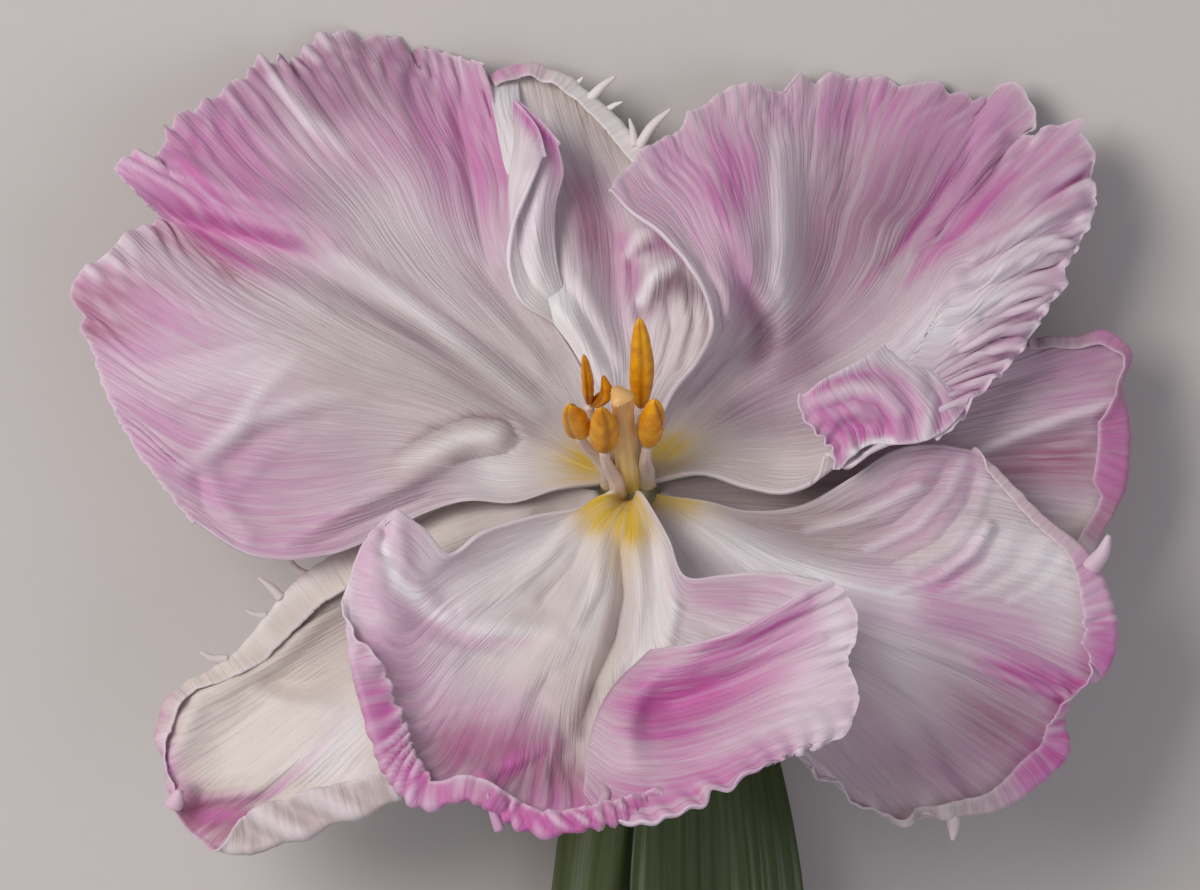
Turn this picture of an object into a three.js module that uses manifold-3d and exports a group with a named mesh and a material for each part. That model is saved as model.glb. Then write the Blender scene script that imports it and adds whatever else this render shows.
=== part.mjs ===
// Parrot tulip, a cut flower lying on its stem with the bloom turned up.
// Millimetres. +Z is up, +Y runs along the stem towards the bloom, +X is to its right.
// All points are given from the middle of the receptacle, where the floral pieces meet,
// and the whole flower is moved at the end so that it stands on z = 0, centred on the origin.

import * as THREE from "three";
import Module from "manifold-3d";

const wasm = await Module();
wasm.setup();

// Driving dimensions
const bloomTilt = 30;
const tepalThickness = 0.7;
const leafThickness = 0.9;
const pieceGap = 0.35;
const innerWhorlRadius = 3.5;
const outerWhorlRadius = 4.3;
const outerWhorlDrop = 1.2;
const extraTepalDrop = 2.3;
const filamentRingRadius = 2.6;
const filamentFootRadius = 0.48;
const filamentNeckRadius = 0.35;
const pistilFootRadius = 1.5;
const pistilNeckRadius = 1.3;
const stigmaRadius = 2.0;
const stemRadius = 5.0;
const stemMiddleRadius = 4.7;
const receptacleRadius = 3.1;
const receptacleHeight = 5.5;
const stemBendRadius = 24;
const stemLength = 300;
const neckLength = 6;
const stemRestHeight = 17.2;
const stemEnd = -290;

// Bloom frame: three unit directions of the tilted flower
const tiltRadians = (bloomTilt * Math.PI) / 180;
const bloomAxis = [0, Math.sin(tiltRadians), Math.cos(tiltRadians)];
const bloomUp = [0, Math.cos(tiltRadians), -Math.sin(tiltRadians)];

// A point at a radius, an angle from +X and a height along the bloom's own axis
function onBloom(radius, degrees, height) {
  const angle = (degrees * Math.PI) / 180;
  const across = radius * Math.cos(angle);
  const up = radius * Math.sin(angle);
  return [
    across,
    up * bloomUp[1] + height * bloomAxis[1],
    up * bloomUp[2] + height * bloomAxis[2],
  ];
}

const add = (a, b) => a.map((value, i) => value + b[i]);
const subtract = (a, b) => a.map((value, i) => value - b[i]);
const scale = (a, k) => a.map((value) => value * k);
const mix = (a, b, k) => a.map((value, i) => value + (b[i] - value) * k);
const length = (a) => Math.hypot(...a);
const unit = (a) => scale(a, 1 / (length(a) || 1));
const cross = (a, b) => [
  a[1] * b[2] - a[2] * b[1],
  a[2] * b[0] - a[0] * b[2],
  a[0] * b[1] - a[1] * b[0],
];

// A smooth curve through the points, walked by its chord length from 0 to 1
function curveThrough(points) {
  const knots = [0];
  for (let i = 1; i < points.length; i++) {
    knots.push(knots[i - 1] + length(subtract(points[i], points[i - 1])));
  }
  const whole = knots[knots.length - 1];
  const slopes = points.slice(1).map((p, i) => scale(subtract(p, points[i]), 1 / (knots[i + 1] - knots[i])));
  const tangents = points.map((p, i) => {
    if (i === 0) return slopes[0];
    if (i === points.length - 1) return slopes[i - 1];
    return mix(slopes[i - 1], slopes[i], (knots[i] - knots[i - 1]) / (knots[i + 1] - knots[i - 1]));
  });
  return (t) => {
    const at = Math.min(Math.max(t, 0), 1) * whole;
    let i = 0;
    while (i < points.length - 2 && at > knots[i + 1]) i++;
    const step = knots[i + 1] - knots[i];
    const s = (at - knots[i]) / step;
    const s2 = s * s;
    const s3 = s2 * s;
    const from = scale(points[i], 2 * s3 - 3 * s2 + 1);
    const leave = scale(tangents[i], (s3 - 2 * s2 + s) * step);
    const to = scale(points[i + 1], 3 * s2 - 2 * s3);
    const arrive = scale(tangents[i + 1], (s3 - s2) * step);
    return add(add(from, leave), add(to, arrive));
  };
}

// Height that a list of ridges gives to a place: each ridge is a line of [x, y, height]
// and falls away from that line as a bell curve of the given width.
function ridgeHeight(ridges, x, y) {
  let sum = 0;
  for (const ridge of ridges) {
    let nearest = Infinity;
    let height = 0;
    for (let i = 1; i < ridge.line.length; i++) {
      const [ax, ay, ah] = ridge.line[i - 1];
      const [bx, by, bh] = ridge.line[i];
      const run = (bx - ax) ** 2 + (by - ay) ** 2;
      const s = Math.min(Math.max(((x - ax) * (bx - ax) + (y - ay) * (by - ay)) / run, 0), 1);
      const distance = Math.hypot(x - ax - s * (bx - ax), y - ay - s * (by - ay));
      if (distance < nearest) {
        nearest = distance;
        height = ah + s * (bh - ah);
      }
    }
    sum += height * Math.exp(-((nearest / ridge.width) ** 2));
  }
  return sum;
}

// The middle surface of a petal or leaf: a patch stretched between its foot, two sides and
// rim, raised along its ridges, with a rim that can roll on past the edge.
function surfaceGrid(shape, across, outward, rollRows) {
  const left = curveThrough(shape.left);
  const right = curveThrough(shape.right);
  const footPoints = [shape.left[0], ...shape.foot, shape.right[0]];
  const rimPoints = [shape.left.at(-1), ...shape.rim, shape.right.at(-1)];
  const foot = curveThrough(footPoints);
  const rim = curveThrough(rimPoints);
  const place = (u, v) => {
    const sides = mix(left(v), right(v), u);
    const ends = mix(foot(u), rim(u), v);
    const corners = mix(mix(footPoints[0], footPoints.at(-1), u), mix(rimPoints[0], rimPoints.at(-1), u), v);
    const point = subtract(add(sides, ends), corners);
    point[2] += ridgeHeight(shape.ridges ?? [], point[0], point[1]) * Math.min(1, v * 5);
    return point;
  };
  const rolls = curveThrough((shape.roll ?? [[0, 0.4, 0], [1, 0.4, 0]]).map(([u, reach, turn]) => [u * 100, reach, turn / 30]));
  const rollAt = (u) => {
    let low = 0;
    let high = 1;
    for (let i = 0; i < 30; i++) {
      const middle = (low + high) / 2;
      if (rolls(middle)[0] < u * 100) low = middle;
      else high = middle;
    }
    return rolls(low);
  };
  const grid = [];
  for (let j = 0; j <= outward; j++) {
    const row = [];
    for (let i = 0; i <= across; i++) row.push(place(i / across, j / outward));
    grid.push(row);
  }
  const lastRow = grid[outward];
  const innerRow = [];
  for (let i = 0; i <= across; i++) innerRow.push(place(i / across, 1 - 0.02));
  const rollGrid = Array.from({ length: rollRows }, () => []);
  for (let i = 0; i <= across; i++) {
    const edge = lastRow[i];
    const outwards = unit(subtract(edge, innerRow[i]));
    const along = unit(subtract(lastRow[Math.min(i + 1, across)], lastRow[Math.max(i - 1, 0)]));
    const facing = unit(cross(along, outwards));
    const [, reach, turnPart] = rollAt(i / across);
    const turn = (turnPart * 30 * Math.PI) / 180 || 1e-4;
    for (let k = 1; k <= rollRows; k++) {
      const angle = (turn * k) / rollRows;
      const radius = reach / turn;
      const ahead = scale(outwards, Math.sin(angle) * radius);
      const lift = scale(facing, (1 - Math.cos(angle)) * radius);
      rollGrid[k - 1].push(add(edge, add(ahead, lift)));
    }
  }
  return grid.concat(rollGrid);
}

// A closed shell of even thickness about a grid of points
function shellOf(grid, thickness) {
  const rows = grid.length;
  const columns = grid[0].length;
  const faces = [];
  const upper = [];
  const lower = [];
  for (let j = 0; j < rows; j++) {
    for (let i = 0; i < columns; i++) {
      const alongU = subtract(grid[j][Math.min(i + 1, columns - 1)], grid[j][Math.max(i - 1, 0)]);
      const alongV = subtract(grid[Math.min(j + 1, rows - 1)][i], grid[Math.max(j - 1, 0)][i]);
      const offset = scale(unit(cross(alongU, alongV)), thickness / 2);
      upper.push(add(grid[j][i], offset));
      lower.push(subtract(grid[j][i], offset));
    }
  }
  const count = rows * columns;
  const at = (j, i) => j * columns + i;
  for (let j = 0; j + 1 < rows; j++) {
    for (let i = 0; i + 1 < columns; i++) {
      const corners = [at(j, i), at(j, i + 1), at(j + 1, i + 1), at(j + 1, i)];
      const slant = length(subtract(upper[corners[0]], upper[corners[2]]));
      const cut = slant <= length(subtract(upper[corners[1]], upper[corners[3]])) ? 0 : 1;
      const [a, b, c, d] = [0, 1, 2, 3].map((k) => corners[(k + cut) % 4]);
      faces.push(a, b, c, a, c, d);
      faces.push(count + a, count + c, count + b, count + a, count + d, count + c);
    }
  }
  const border = [];
  for (let i = 0; i + 1 < columns; i++) border.push(at(0, i));
  for (let j = 0; j + 1 < rows; j++) border.push(at(j, columns - 1));
  for (let i = columns - 1; i > 0; i--) border.push(at(rows - 1, i));
  for (let j = rows - 1; j > 0; j--) border.push(at(j, 0));
  border.forEach((a, k) => {
    const b = border[(k + 1) % border.length];
    faces.push(b, a, count + a, b, count + a, count + b);
  });
  return geometryFrom([...upper, ...lower], faces);
}

// A round or oval body along a path: each ring has a centre, two half widths and a turn
function bodyAlong(path, halfWidths, ringCount, sideCount, turnAt = () => 0, lobes = () => 1) {
  const points = [];
  const faces = [];
  let side = null;
  for (let j = 0; j <= ringCount; j++) {
    const t = j / ringCount;
    const centre = path(t);
    const ahead = unit(subtract(path(Math.min(t + 0.01, 1)), path(Math.max(t - 0.01, 0))));
    const start = side ?? (Math.abs(ahead[0]) > 0.9 ? [0, 1, 0] : [1, 0, 0]);
    side = unit(subtract(start, scale(ahead, start[0] * ahead[0] + start[1] * ahead[1] + start[2] * ahead[2])));
    const other = cross(ahead, side);
    const [wide, thick] = halfWidths(t);
    for (let i = 0; i < sideCount; i++) {
      const angle = (2 * Math.PI * i) / sideCount + turnAt(t);
      const grow = lobes(t, angle);
      const inPlane = add(scale(side, Math.cos(angle) * wide * grow), scale(other, Math.sin(angle) * thick * grow));
      points.push(add(centre, inPlane));
    }
  }
  const first = points.length;
  points.push(path(0), path(1));
  for (let j = 0; j < ringCount; j++) {
    for (let i = 0; i < sideCount; i++) {
      const next = (i + 1) % sideCount;
      const [a, b] = [j * sideCount + i, j * sideCount + next];
      const [c, d] = [a + sideCount, b + sideCount];
      faces.push(a, b, d, a, d, c);
    }
  }
  for (let i = 0; i < sideCount; i++) {
    const next = (i + 1) % sideCount;
    faces.push(first, next, i);
    faces.push(first + 1, ringCount * sideCount + i, ringCount * sideCount + next);
  }
  return geometryFrom(points, faces);
}

function geometryFrom(points, faces) {
  const geometry = new THREE.BufferGeometry();
  geometry.setAttribute("position", new THREE.BufferAttribute(new Float32Array(points.flat()), 3));
  geometry.setIndex(faces);
  return geometry;
}

// One body from two that run into each other
function joined(first, second) {
  const solids = [first, second].map((geometry) => {
    const mesh = new wasm.Mesh({
      numProp: 3,
      vertProperties: geometry.getAttribute("position").array,
      triVerts: new Uint32Array(geometry.getIndex().array),
    });
    mesh.merge();
    return new wasm.Manifold(mesh);
  });
  const result = solids[0].add(solids[1]).getMesh();
  const geometry = new THREE.BufferGeometry();
  geometry.setAttribute("position", new THREE.BufferAttribute(result.vertProperties, 3));
  geometry.setIndex(new THREE.BufferAttribute(result.triVerts, 1));
  return geometry;
}

const flower = new THREE.Group();
flower.name = "parrot_tulip";

function addPiece(name, geometry, color, roughness) {
  const material = new THREE.MeshStandardMaterial({ color, roughness, metalness: 0, flatShading: false });
  const mesh = new THREE.Mesh(geometry, material);
  mesh.name = name;
  geometry.computeVertexNormals();
  flower.add(mesh);
}

const inner = (degrees) => onBloom(innerWhorlRadius, degrees, 0);
const outer = (degrees) => onBloom(outerWhorlRadius, degrees, -outerWhorlDrop);
const lowest = (degrees) => onBloom(outerWhorlRadius + 0.2, degrees, -extraTepalDrop);

// Tepals. Left and right are seen from the receptacle looking outwards, with the inner face up.

const upperLeft = {
  left: [
    inner(178), [-8, -0.6, 1.8], [-13.5, -2.2, 3], [-19, -2, 3.4], [-24, -3.5, 3.2],
    [-29, -6, 3.4], [-35, -8.3, 3.8], [-44, -8.4, 4.6], [-50.6, -4.6, 4],
  ],
  foot: [inner(150)],
  right: [
    inner(122), [-3.4, 8.5, -3.6], [-5.6, 14, -4.8], [-9.4, 20, -5], [-12.2, 25, -5], [-13.1, 30, -5.4],
    [-12.9, 35, -7], [-14.8, 42, -11], [-17, 49.6, -17],
  ],
  rim: [
    [-56.6, 3, 2], [-61, 11, -1], [-63.4, 17.5, -3.5], [-64.6, 22, -5], [-61, 26.6, -6],
    [-55.6, 31.3, -9], [-59.4, 37.6, -10], [-53.5, 43.2, -12.5], [-46, 48.6, -16],
    [-37, 52.8, -20.3], [-27, 52.6, -22.1], [-20, 50.4, -19.6],
  ],
  ridges: [
    { width: 3.4, line: [[-6, 7, -0.5], [-14, 14, -2.4], [-25, 20.5, -2.8], [-38, 26, -3], [-50, 30, -3.4], [-57, 32.5, -2.5]] },
    { width: 3.6, line: [[-12, 16, 1], [-20, 20, 2], [-33, 27, 2.2], [-45, 34, 2.2], [-56, 38, 1.5]] },
    { width: 4, line: [[-14, 9, 0.6], [-30, 15, 1.6], [-48, 21, 1.8], [-62, 24, 1]] },
    { width: 3.2, line: [[-13.5, 5.5, 1.2], [-18, 6.2, 2.4], [-24, 4, 2.4], [-32, -1.5, 2], [-38, -6, 1]] },
    { width: 2.6, line: [[-8, 1.4, 0.5], [-13, 0.4, 1.6], [-18, 0, 1.4]] },
    { width: 4, line: [[-30, 7, -1], [-42, 4, -2.4], [-50, 0, -2]] },
    { width: 3.6, line: [[-36, 12, 1], [-46, 8, 1.8], [-53, 3, 1.5]] },
    { width: 5, line: [[-20, 28, 0.8], [-26, 38, 1.6], [-31, 48, 1]] },
    { width: 3.4, line: [[-17, 30, -0.8], [-19, 40, -1.6], [-22, 48, -1]] },
  ],
};

const topCentre = {
  left: [
    inner(114), [-2.5, 7.6, -1.8], [-3.1, 12, -2.6], [-5, 16.4, -3.2], [-9.2, 19.8, -3.4], [-10.2, 25, -5],
    [-10.8, 31, -8], [-12.4, 36, -11.6], [-15.6, 43, -14.8], [-16.4, 47.4, -18],
  ],
  foot: [inner(90)],
  right: [
    inner(66), [2.8, 6.6, -3.5], [5.8, 10.6, -3.9], [9.4, 15, -4], [11, 20, -4.6], [9.6, 26, -6.8], [6, 32, -10],
    [2.4, 38, -13.6],
  ],
  rim: [[-12.5, 48.8, -19], [-8, 47.4, -18.8], [-4.8, 45, -18], [-1.4, 42, -16.4]],
  ridges: [
    { width: 3, line: [[-3, 12, 0.6], [-6, 20, 1.4], [-5.5, 30, 0.5]] },
    { width: 3, line: [[0, 14, -1], [-1, 24, -2.4], [-3, 34, -2]] },
    { width: 2.4, line: [[2, 21, 1], [4.5, 25, 2], [6.5, 27, 1]] },
    { width: 2.4, line: [[1, 26, 0.8], [2.5, 29.5, 2], [3, 33, 0.5]] },
  ],
  roll: [[0, 3, 110], [0.35, 4.4, 150], [0.7, 3.6, 150], [1, 2, 100]],
};

const topCentreStrap = {
  left: [
    [-7.8, 18.2, -3.2], [-9.6, 19.4, -2.6], [-12.4, 21.2, -1.8], [-14, 25, -1.6], [-13.4, 30, -2.2],
    [-11.8, 35, -3.4], [-11.8, 39.5, -5.4],
  ],
  foot: [[-7, 18.8, -3.6]],
  right: [
    [-6.4, 19.4, -4], [-7.6, 22.4, -4.4], [-8.6, 27, -5], [-8.6, 33, -6], [-7.6, 37, -6.6], [-8.6, 40, -7.4],
  ],
  rim: [[-12.8, 43.2, -7], [-13.2, 45.2, -8.4], [-11.4, 43.4, -8.2]],
  ridges: [{ width: 1.6, line: [[-9, 21, 0.3], [-10.4, 28, 0.8], [-10, 36, 0.6]] }],
};

const upperRight = {
  left: [
    inner(60), [3.1, 6.4, -0.9], [5.2, 10.8, -0.4], [8.2, 14.6, 0.8], [9.8, 18.4, 1.8], [9.2, 21.6, 1.6],
    [7.2, 25.4, 0.6], [3.4, 29.8, -1.4], [0.2, 32, -2.8], [-1.9, 34.6, -4.8],
  ],
  foot: [inner(32)],
  right: [
    inner(5), [8.6, 1.2, 2], [14, -0.4, 3.4], [18.5, -1, 3.8], [22, 0.6, 3.6], [23.2, 3.4, 3.4],
    [25.4, 1.9, 4], [28, 3.6, 4], [31.5, 5, 3.6], [36, 5.4, 3],
  ],
  rim: [
    [-0.4, 36.8, -7.5], [2.4, 39.2, -10], [7, 42.6, -13.5], [12, 46.2, -17], [18, 46, -18.8], [24, 48.2, -21],
    [31, 47.8, -21.55], [38, 46.8, -20.4], [43, 45.8, -18.4], [46.3, 46.8, -18], [48, 43, -16], [46.8, 40.8, -14.8],
    [52.8, 42.2, -14.5], [55, 38, -12], [54.8, 33.4, -9.6], [51.6, 26, -7], [49, 21.6, -5.4], [45.6, 16.2, -3.6],
    [41, 9.4, 0],
  ],
  ridges: [
    { width: 3, line: [[10, 33, 1], [12.6, 28, 0.8], [15, 22, -0.5], [16, 17, -1.2], [12, 12, -0.8]] },
    { width: 3, line: [[11, 18, 1.2], [13.5, 25, 1.8], [11, 34, 1.8], [9, 41, 1]] },
    { width: 3.4, line: [[18, 16, 1.2], [17.5, 26, 2], [16, 38, 2.2], [15, 46, 1]] },
    { width: 3.4, line: [[22, 18, -1], [24, 30, -1.8], [28, 44, -1.4]] },
    { width: 4.4, line: [[16, 7, -1], [23, 12, -3.4], [30, 21, -4.6], [38, 31, -4.2], [46, 39.5, -2.6]] },
    { width: 3.8, line: [[21.4, 9.8, 2.4], [28.5, 14.4, 4.6], [36.7, 22.6, 4.6], [44, 29.6, 3.8], [53, 35, 1.6]] },
    { width: 3, line: [[22, 7.6, 1], [27, 11, 2.6], [32, 12, 3], [35.6, 9, 2.6], [34.6, 5.6, 1.4]] },
    { width: 3, line: [[12, 3, -0.6], [17, 2, -1.4], [21, 2.2, -1]] },
  ],
};

const rightBehind = {
  left: [
    lowest(17), [10, 1.4, -3.4], [20, 5, -4.6], [31, 10, -6], [40, 14, -8], [47.4, 17, -10],
  ],
  foot: [lowest(8)],
  right: [
    lowest(-1), [11, -2.6, -3.2], [21, -4, -3.4], [32, -6, -3.8], [42, -9, -4.6], [50, -12, -5.4],
  ],
  rim: [[53, 17.1, -11], [56.8, 17.3, -11.6], [58.6, 14.6, -11.4], [56.8, 10, -10.6], [57.2, 5, -9.8], [56.2, -1, -8.6], [53.2, -7, -6.8]],
  ridges: [
    { width: 3, line: [[36, 4, 0.6], [44, 5.6, 1.6], [57, 9.6, 1.8]] },
    { width: 3.2, line: [[38, 1.4, -0.6], [48, 2.4, -2], [55, 3.6, -1.4]] },
    { width: 4, line: [[40, 10, -0.6], [50, 13, -1.4], [56, 14, -0.6]] },
  ],
  roll: [[0, 1, 20], [0.2, 3, 110], [0.4, 1.6, 60], [0.6, 5, 150], [0.8, 4, 130], [1, 1, 20]],
};

const lowerRight = {
  left: [
    outer(-15), [8.5, -1.9, 0.4], [14, -3.1, 1], [20, -2.6, 1.3], [26, 0.6, 0.6], [31.5, 4, -0.4],
    [36, 4.7, -1.2], [40.4, 4, -1.8],
  ],
  foot: [outer(-32)],
  right: [
    outer(-50), [4.2, -6, 2.4], [6, -10.6, 4.4], [9.6, -17, 7.4], [13.6, -23, 9.6], [17.6, -29, 11], [21.2, -33, 11.6],
  ],
  rim: [
    [43.6, 1, -1.4], [48.8, -4.4, -0.4], [53.6, -8.6, 0.2], [55.4, -12, 0], [56.6, -17.6, -0.4],
    [55.4, -22, 0.2], [51.4, -24.8, 1.6], [50.6, -28.2, 2], [51, -31, 2.4], [47, -35.2, 4], [42.8, -37.8, 5.4],
    [37.6, -38.6, 7], [30, -38.9, 9], [25.6, -35.8, 10.4],
  ],
  ridges: [
    { width: 2.6, line: [[5.6, -2.6, 0.3], [10, -6.4, 1.6], [16, -9.2, 2.2], [24, -11.4, 2], [34, -14, 1.2], [48, -14, 0.4]] },
    { width: 4, line: [[12, -4.6, -0.6], [22, -6, -2], [32, -7, -1.4], [40, -3, -0.6]] },
    { width: 3, line: [[26, -15.4, 0.8], [36, -19.6, 1.4], [46, -23.2, 1.8], [52, -24.8, 1]] },
    { width: 3.4, line: [[28, -19, -0.8], [38, -23.6, -2], [46, -27, -2], [50, -28, -1]] },
    { width: 3, line: [[27, -24, 0.8], [34, -31, 1.4], [38, -37, 0.8]] },
    { width: 3, line: [[34, -2, 0.6], [38, -6, 1], [48, -9, 1.4]] },
    { width: 3, line: [[36, -11, -0.6], [46, -9.6, -1.4], [54, -12, -1]] },
  ],
  roll: [
    [0, 2, 60], [0.1, 4, 110], [0.3, 4, 120], [0.42, 6, 150], [0.55, 5, 140], [0.62, 2, 60],
    [0.72, 5, 140], [0.8, 3, 90], [0.9, 1, -30], [1, 1, -30],
  ],
};

const bottomFront = {
  left: [
    inner(246), [-5.4, -2.6, 4.4], [-11.4, -3.8, 8.4], [-17, -5.6, 13], [-21, -8, 17], [-23.6, -5.2, 19], [-26.4, -3.4, 20],
  ],
  foot: [inner(270)],
  right: [
    inner(296), [4.6, -6, 7.2], [7.4, -11, 12.4], [11, -10.9, 13.6], [15.6, -10.5, 14.4], [20, -10.4, 15],
  ],
  rim: [
    [-29.4, -7, 20.6], [-32, -13, 22], [-31.8, -20, 24], [-30, -27, 26.4], [-27.4, -33.4, 28.6], [-23.6, -37, 30],
    [-18, -36, 31], [-14, -38.2, 32], [-10.6, -39.8, 33], [-4, -39, 33.2], [4, -37, 31], [12, -31, 27], [17.4, -22, 21],
  ],
  ridges: [
    { width: 3, line: [[-1, -6, -0.8], [0, -14, -2], [-1.6, -21, -2.6], [-5, -28, -3], [-6, -33, -1.6]] },
    { width: 3, line: [[3, -8, 0.8], [4.4, -16, 1.2], [2.6, -21, 1]] },
    { width: 3.4, line: [[-5, -8, 0.6], [-8, -14, 1.4], [-16, -15.6, 2], [-24, -14, 2]] },
    { width: 4, line: [[-10, -19, -1], [-18, -21, -2.4], [-26, -24, -2.4]] },
    { width: 3.4, line: [[-8, -27, 0.6], [-12, -31, 1.4], [-20, -34, 1.2]] },
    { width: 3.4, line: [[-14, -9.6, -1.2], [-21, -10.6, -2], [-26, -8, -1.4]] },
  ],
  roll: [
    [0, 0.6, 10], [0.12, 2, 70], [0.25, 4, 150], [0.36, 5, 170], [0.45, 3, 110], [0.55, 4, 150],
    [0.7, 2.4, 60], [0.85, 1, 0], [1, 1, 0],
  ],
};

const bottomFrontCup = {
  left: [[2.8, -19.4, 17.4], [4.8, -18.9, 21], [7.6, -18.2, 25], [12, -16.8, 28], [17.4, -13.8, 30], [22.4, -10.9, 31]],
  foot: [[-1.8, -24, 17.8], [-4.2, -29, 22]],
  right: [[-5.2, -35.4, 29], [-2.6, -38.2, 32.4], [1.4, -38.8, 34], [7, -37, 34.4], [13.4, -33.2, 34], [20.6, -30, 32.6]],
  rim: [[24.8, -12.8, 31.4], [25.9, -17, 31.4], [24.7, -20, 31.2], [25.9, -24.4, 31.6], [24.4, -28.2, 32.2]],
  ridges: [
    { width: 2.2, line: [[4, -19.6, 1], [0, -23.4, 3.6], [-0.8, -28, 3], [0.6, -33, 1]] },
    { width: 3.6, line: [[4, -24.6, -1], [5, -28.6, -1.8], [9, -25, -2.8], [15, -21, -2]] },
    { width: 3, line: [[7, -18.8, 0.8], [13, -16.2, 1], [20, -12.4, 0.8]] },
    { width: 3, line: [[5, -31.6, 0.8], [12, -29.6, 1], [19, -27, 0.6]] },
  ],
};

const lowerLeftBehind = {
  left: [
    outer(226), [-7.4, -9, 1.6], [-11, -15.4, 3.6], [-15.6, -22.6, 5.4], [-20.6, -29, 6.6], [-26.6, -36.4, 7],
  ],
  foot: [outer(208)],
  right: [
    outer(190), [-9, 0.2, -1], [-14, -0.4, -1.4], [-19, -1, -1.6], [-26, -3.4, -1.8], [-32, -6.8, -1.6],
    [-36.6, -9, -1.4], [-39.4, -11, -1.4],
  ],
  rim: [
    [-30.6, -38, 6.6], [-35, -39.6, 5.8], [-40, -41.6, 4.6], [-45, -42.8, 3.4], [-50, -41.4, 1.8], [-52.6, -38, 0.6],
    [-54, -33, -0.4], [-54.8, -28.6, -1], [-53, -24.4, -1.4], [-48.2, -21.8, -1.6], [-44.6, -18.4, -1.6], [-42, -14.2, -1.4],
  ],
  ridges: [
    { width: 4, line: [[-20, -14, -0.8], [-32, -18, -2], [-42, -24, -2.4], [-48, -30, -1.6]] },
    { width: 3.4, line: [[-26, -27, 0.8], [-36, -31, 1.8], [-42, -35, 1]] },
    { width: 3, line: [[-44, -24, 0.6], [-50.6, -28, 1.4], [-53, -33, 0.8]] },
    { width: 3, line: [[-44, -38, -1.2], [-50, -38.4, -1.2]] },
  ],
  roll: [
    [0, 2, 60], [0.1, 4, 110], [0.26, 4, 120], [0.36, 3, 110], [0.46, 4, 150], [0.6, 3.4, 140], [0.72, 2.6, 80],
    [0.84, 2, 60], [0.94, 1, 20], [1, 0.6, 0],
  ],
};

const tepalPink = 0xd9b9cd;
const tepalCream = 0xe3ddd4;
addPiece("tepal_upper_left", shellOf(surfaceGrid(upperLeft, 20, 17, 1), tepalThickness), tepalPink, 0.55);
addPiece(
  "tepal_top_centre",
  joined(
    shellOf(surfaceGrid(topCentre, 13, 14, 3), tepalThickness),
    shellOf(surfaceGrid(topCentreStrap, 5, 11, 1), tepalThickness),
  ),
  tepalCream,
  0.55,
);
addPiece("tepal_upper_right", shellOf(surfaceGrid(upperRight, 24, 18, 1), tepalThickness), tepalPink, 0.55);
addPiece("tepal_right_behind", shellOf(surfaceGrid(rightBehind, 12, 12, 3), tepalThickness), tepalPink, 0.55);
addPiece("tepal_lower_right", shellOf(surfaceGrid(lowerRight, 18, 14, 3), tepalThickness), tepalPink, 0.55);
addPiece(
  "tepal_bottom_front",
  joined(
    shellOf(surfaceGrid(bottomFront, 17, 14, 3), tepalThickness),
    shellOf(surfaceGrid(bottomFrontCup, 9, 9, 1), tepalThickness),
  ),
  tepalPink,
  0.55,
);
addPiece("tepal_lower_left", shellOf(surfaceGrid(lowerLeftBehind, 16, 13, 3), tepalThickness), tepalCream, 0.55);

// Stamens: a thin filament from the receptacle to its neck, and an anther from there to its tip

const stamens = [
  { name: "left", foot: 182, neck: [-5.6, 5.6, 9.4], tip: [-6.8, 8.9, 19], half: [1.45, 1.25], turn: 0.3 },
  { name: "upper_left", foot: 132, neck: [-4.6, 9.4, 9.2], tip: [-5.2, 15.1, 16.2], half: [0.72, 1.2], turn: 0 },
  { name: "upper", foot: 96, neck: [-2.7, 8.4, 7.4], tip: [-2.2, 12.3, 13.4], half: [0.95, 1], turn: 0.4 },
  { name: "upper_right", foot: 52, neck: [1.5, 8.8, 9.6], tip: [1.3, 19.4, 15], half: [1.45, 1.2], turn: 0 },
  { name: "right", foot: 0, neck: [2.2, 4.5, 10.6], tip: [3, 9.8, 18.2], half: [1.4, 1.15], turn: 0.9 },
  { name: "lower_left", foot: 236, neck: [-2.8, 3.9, 10.8], tip: [-3.2, 7.9, 20.4], half: [1.5, 1.35], turn: -0.2 },
];
for (const stamen of stamens) {
  const foot = onBloom(filamentRingRadius, stamen.foot, 0);
  const towards = unit(subtract(stamen.tip, stamen.neck));
  const lead = add(foot, scale(bloomAxis, 4.5));
  const neck = subtract(stamen.neck, scale(towards, pieceGap));
  const filament = curveThrough([foot, lead, subtract(neck, scale(towards, 1.2)), neck]);
  const taper = (t) => {
    const radius = filamentFootRadius + (filamentNeckRadius - filamentFootRadius) * t;
    return [radius * 1.1, radius * 0.9];
  };
  addPiece(`filament_${stamen.name}`, bodyAlong(filament, taper, 6, 8), 0xe6d2c3, 0.5);
  const anther = curveThrough([stamen.neck, mix(stamen.neck, stamen.tip, 0.5), stamen.tip]);
  const swell = (t) => {
    const round = Math.sqrt(Math.max(1 - Math.abs(2 * t - 1) ** 2.6, 0.02));
    return [stamen.half[0] * round, stamen.half[1] * round];
  };
  addPiece(`anther_${stamen.name}`, bodyAlong(anther, swell, 9, 12, () => stamen.turn), 0xd49a10, 0.8);
}

// Pistil: a slim column that ends in a stigma of three lobes
const pistilPath = curveThrough([[0, 0, 0], [-0.2, 3.4, 6], [-0.7, 8.2, 13.6], [-0.9, 10.3, 17.4]]);
const pistilWidths = (t) => {
  const column = pistilFootRadius + (pistilNeckRadius - pistilFootRadius) * Math.min(t / 0.8, 1);
  const head = Math.max(0, (t - 0.82) / 0.18);
  const radius = column + (stigmaRadius - column) * Math.sin(Math.min(head, 1) * 2.2) * 0.9;
  return [radius, radius];
};
const threeLobes = (t, angle) => 1 + (t > 0.84 ? 0.14 : 0.06) * Math.cos(3 * angle);
addPiece("pistil", bodyAlong(pistilPath, pistilWidths, 14, 18, () => 0, threeLobes), 0xd9a86a, 0.55);

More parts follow.
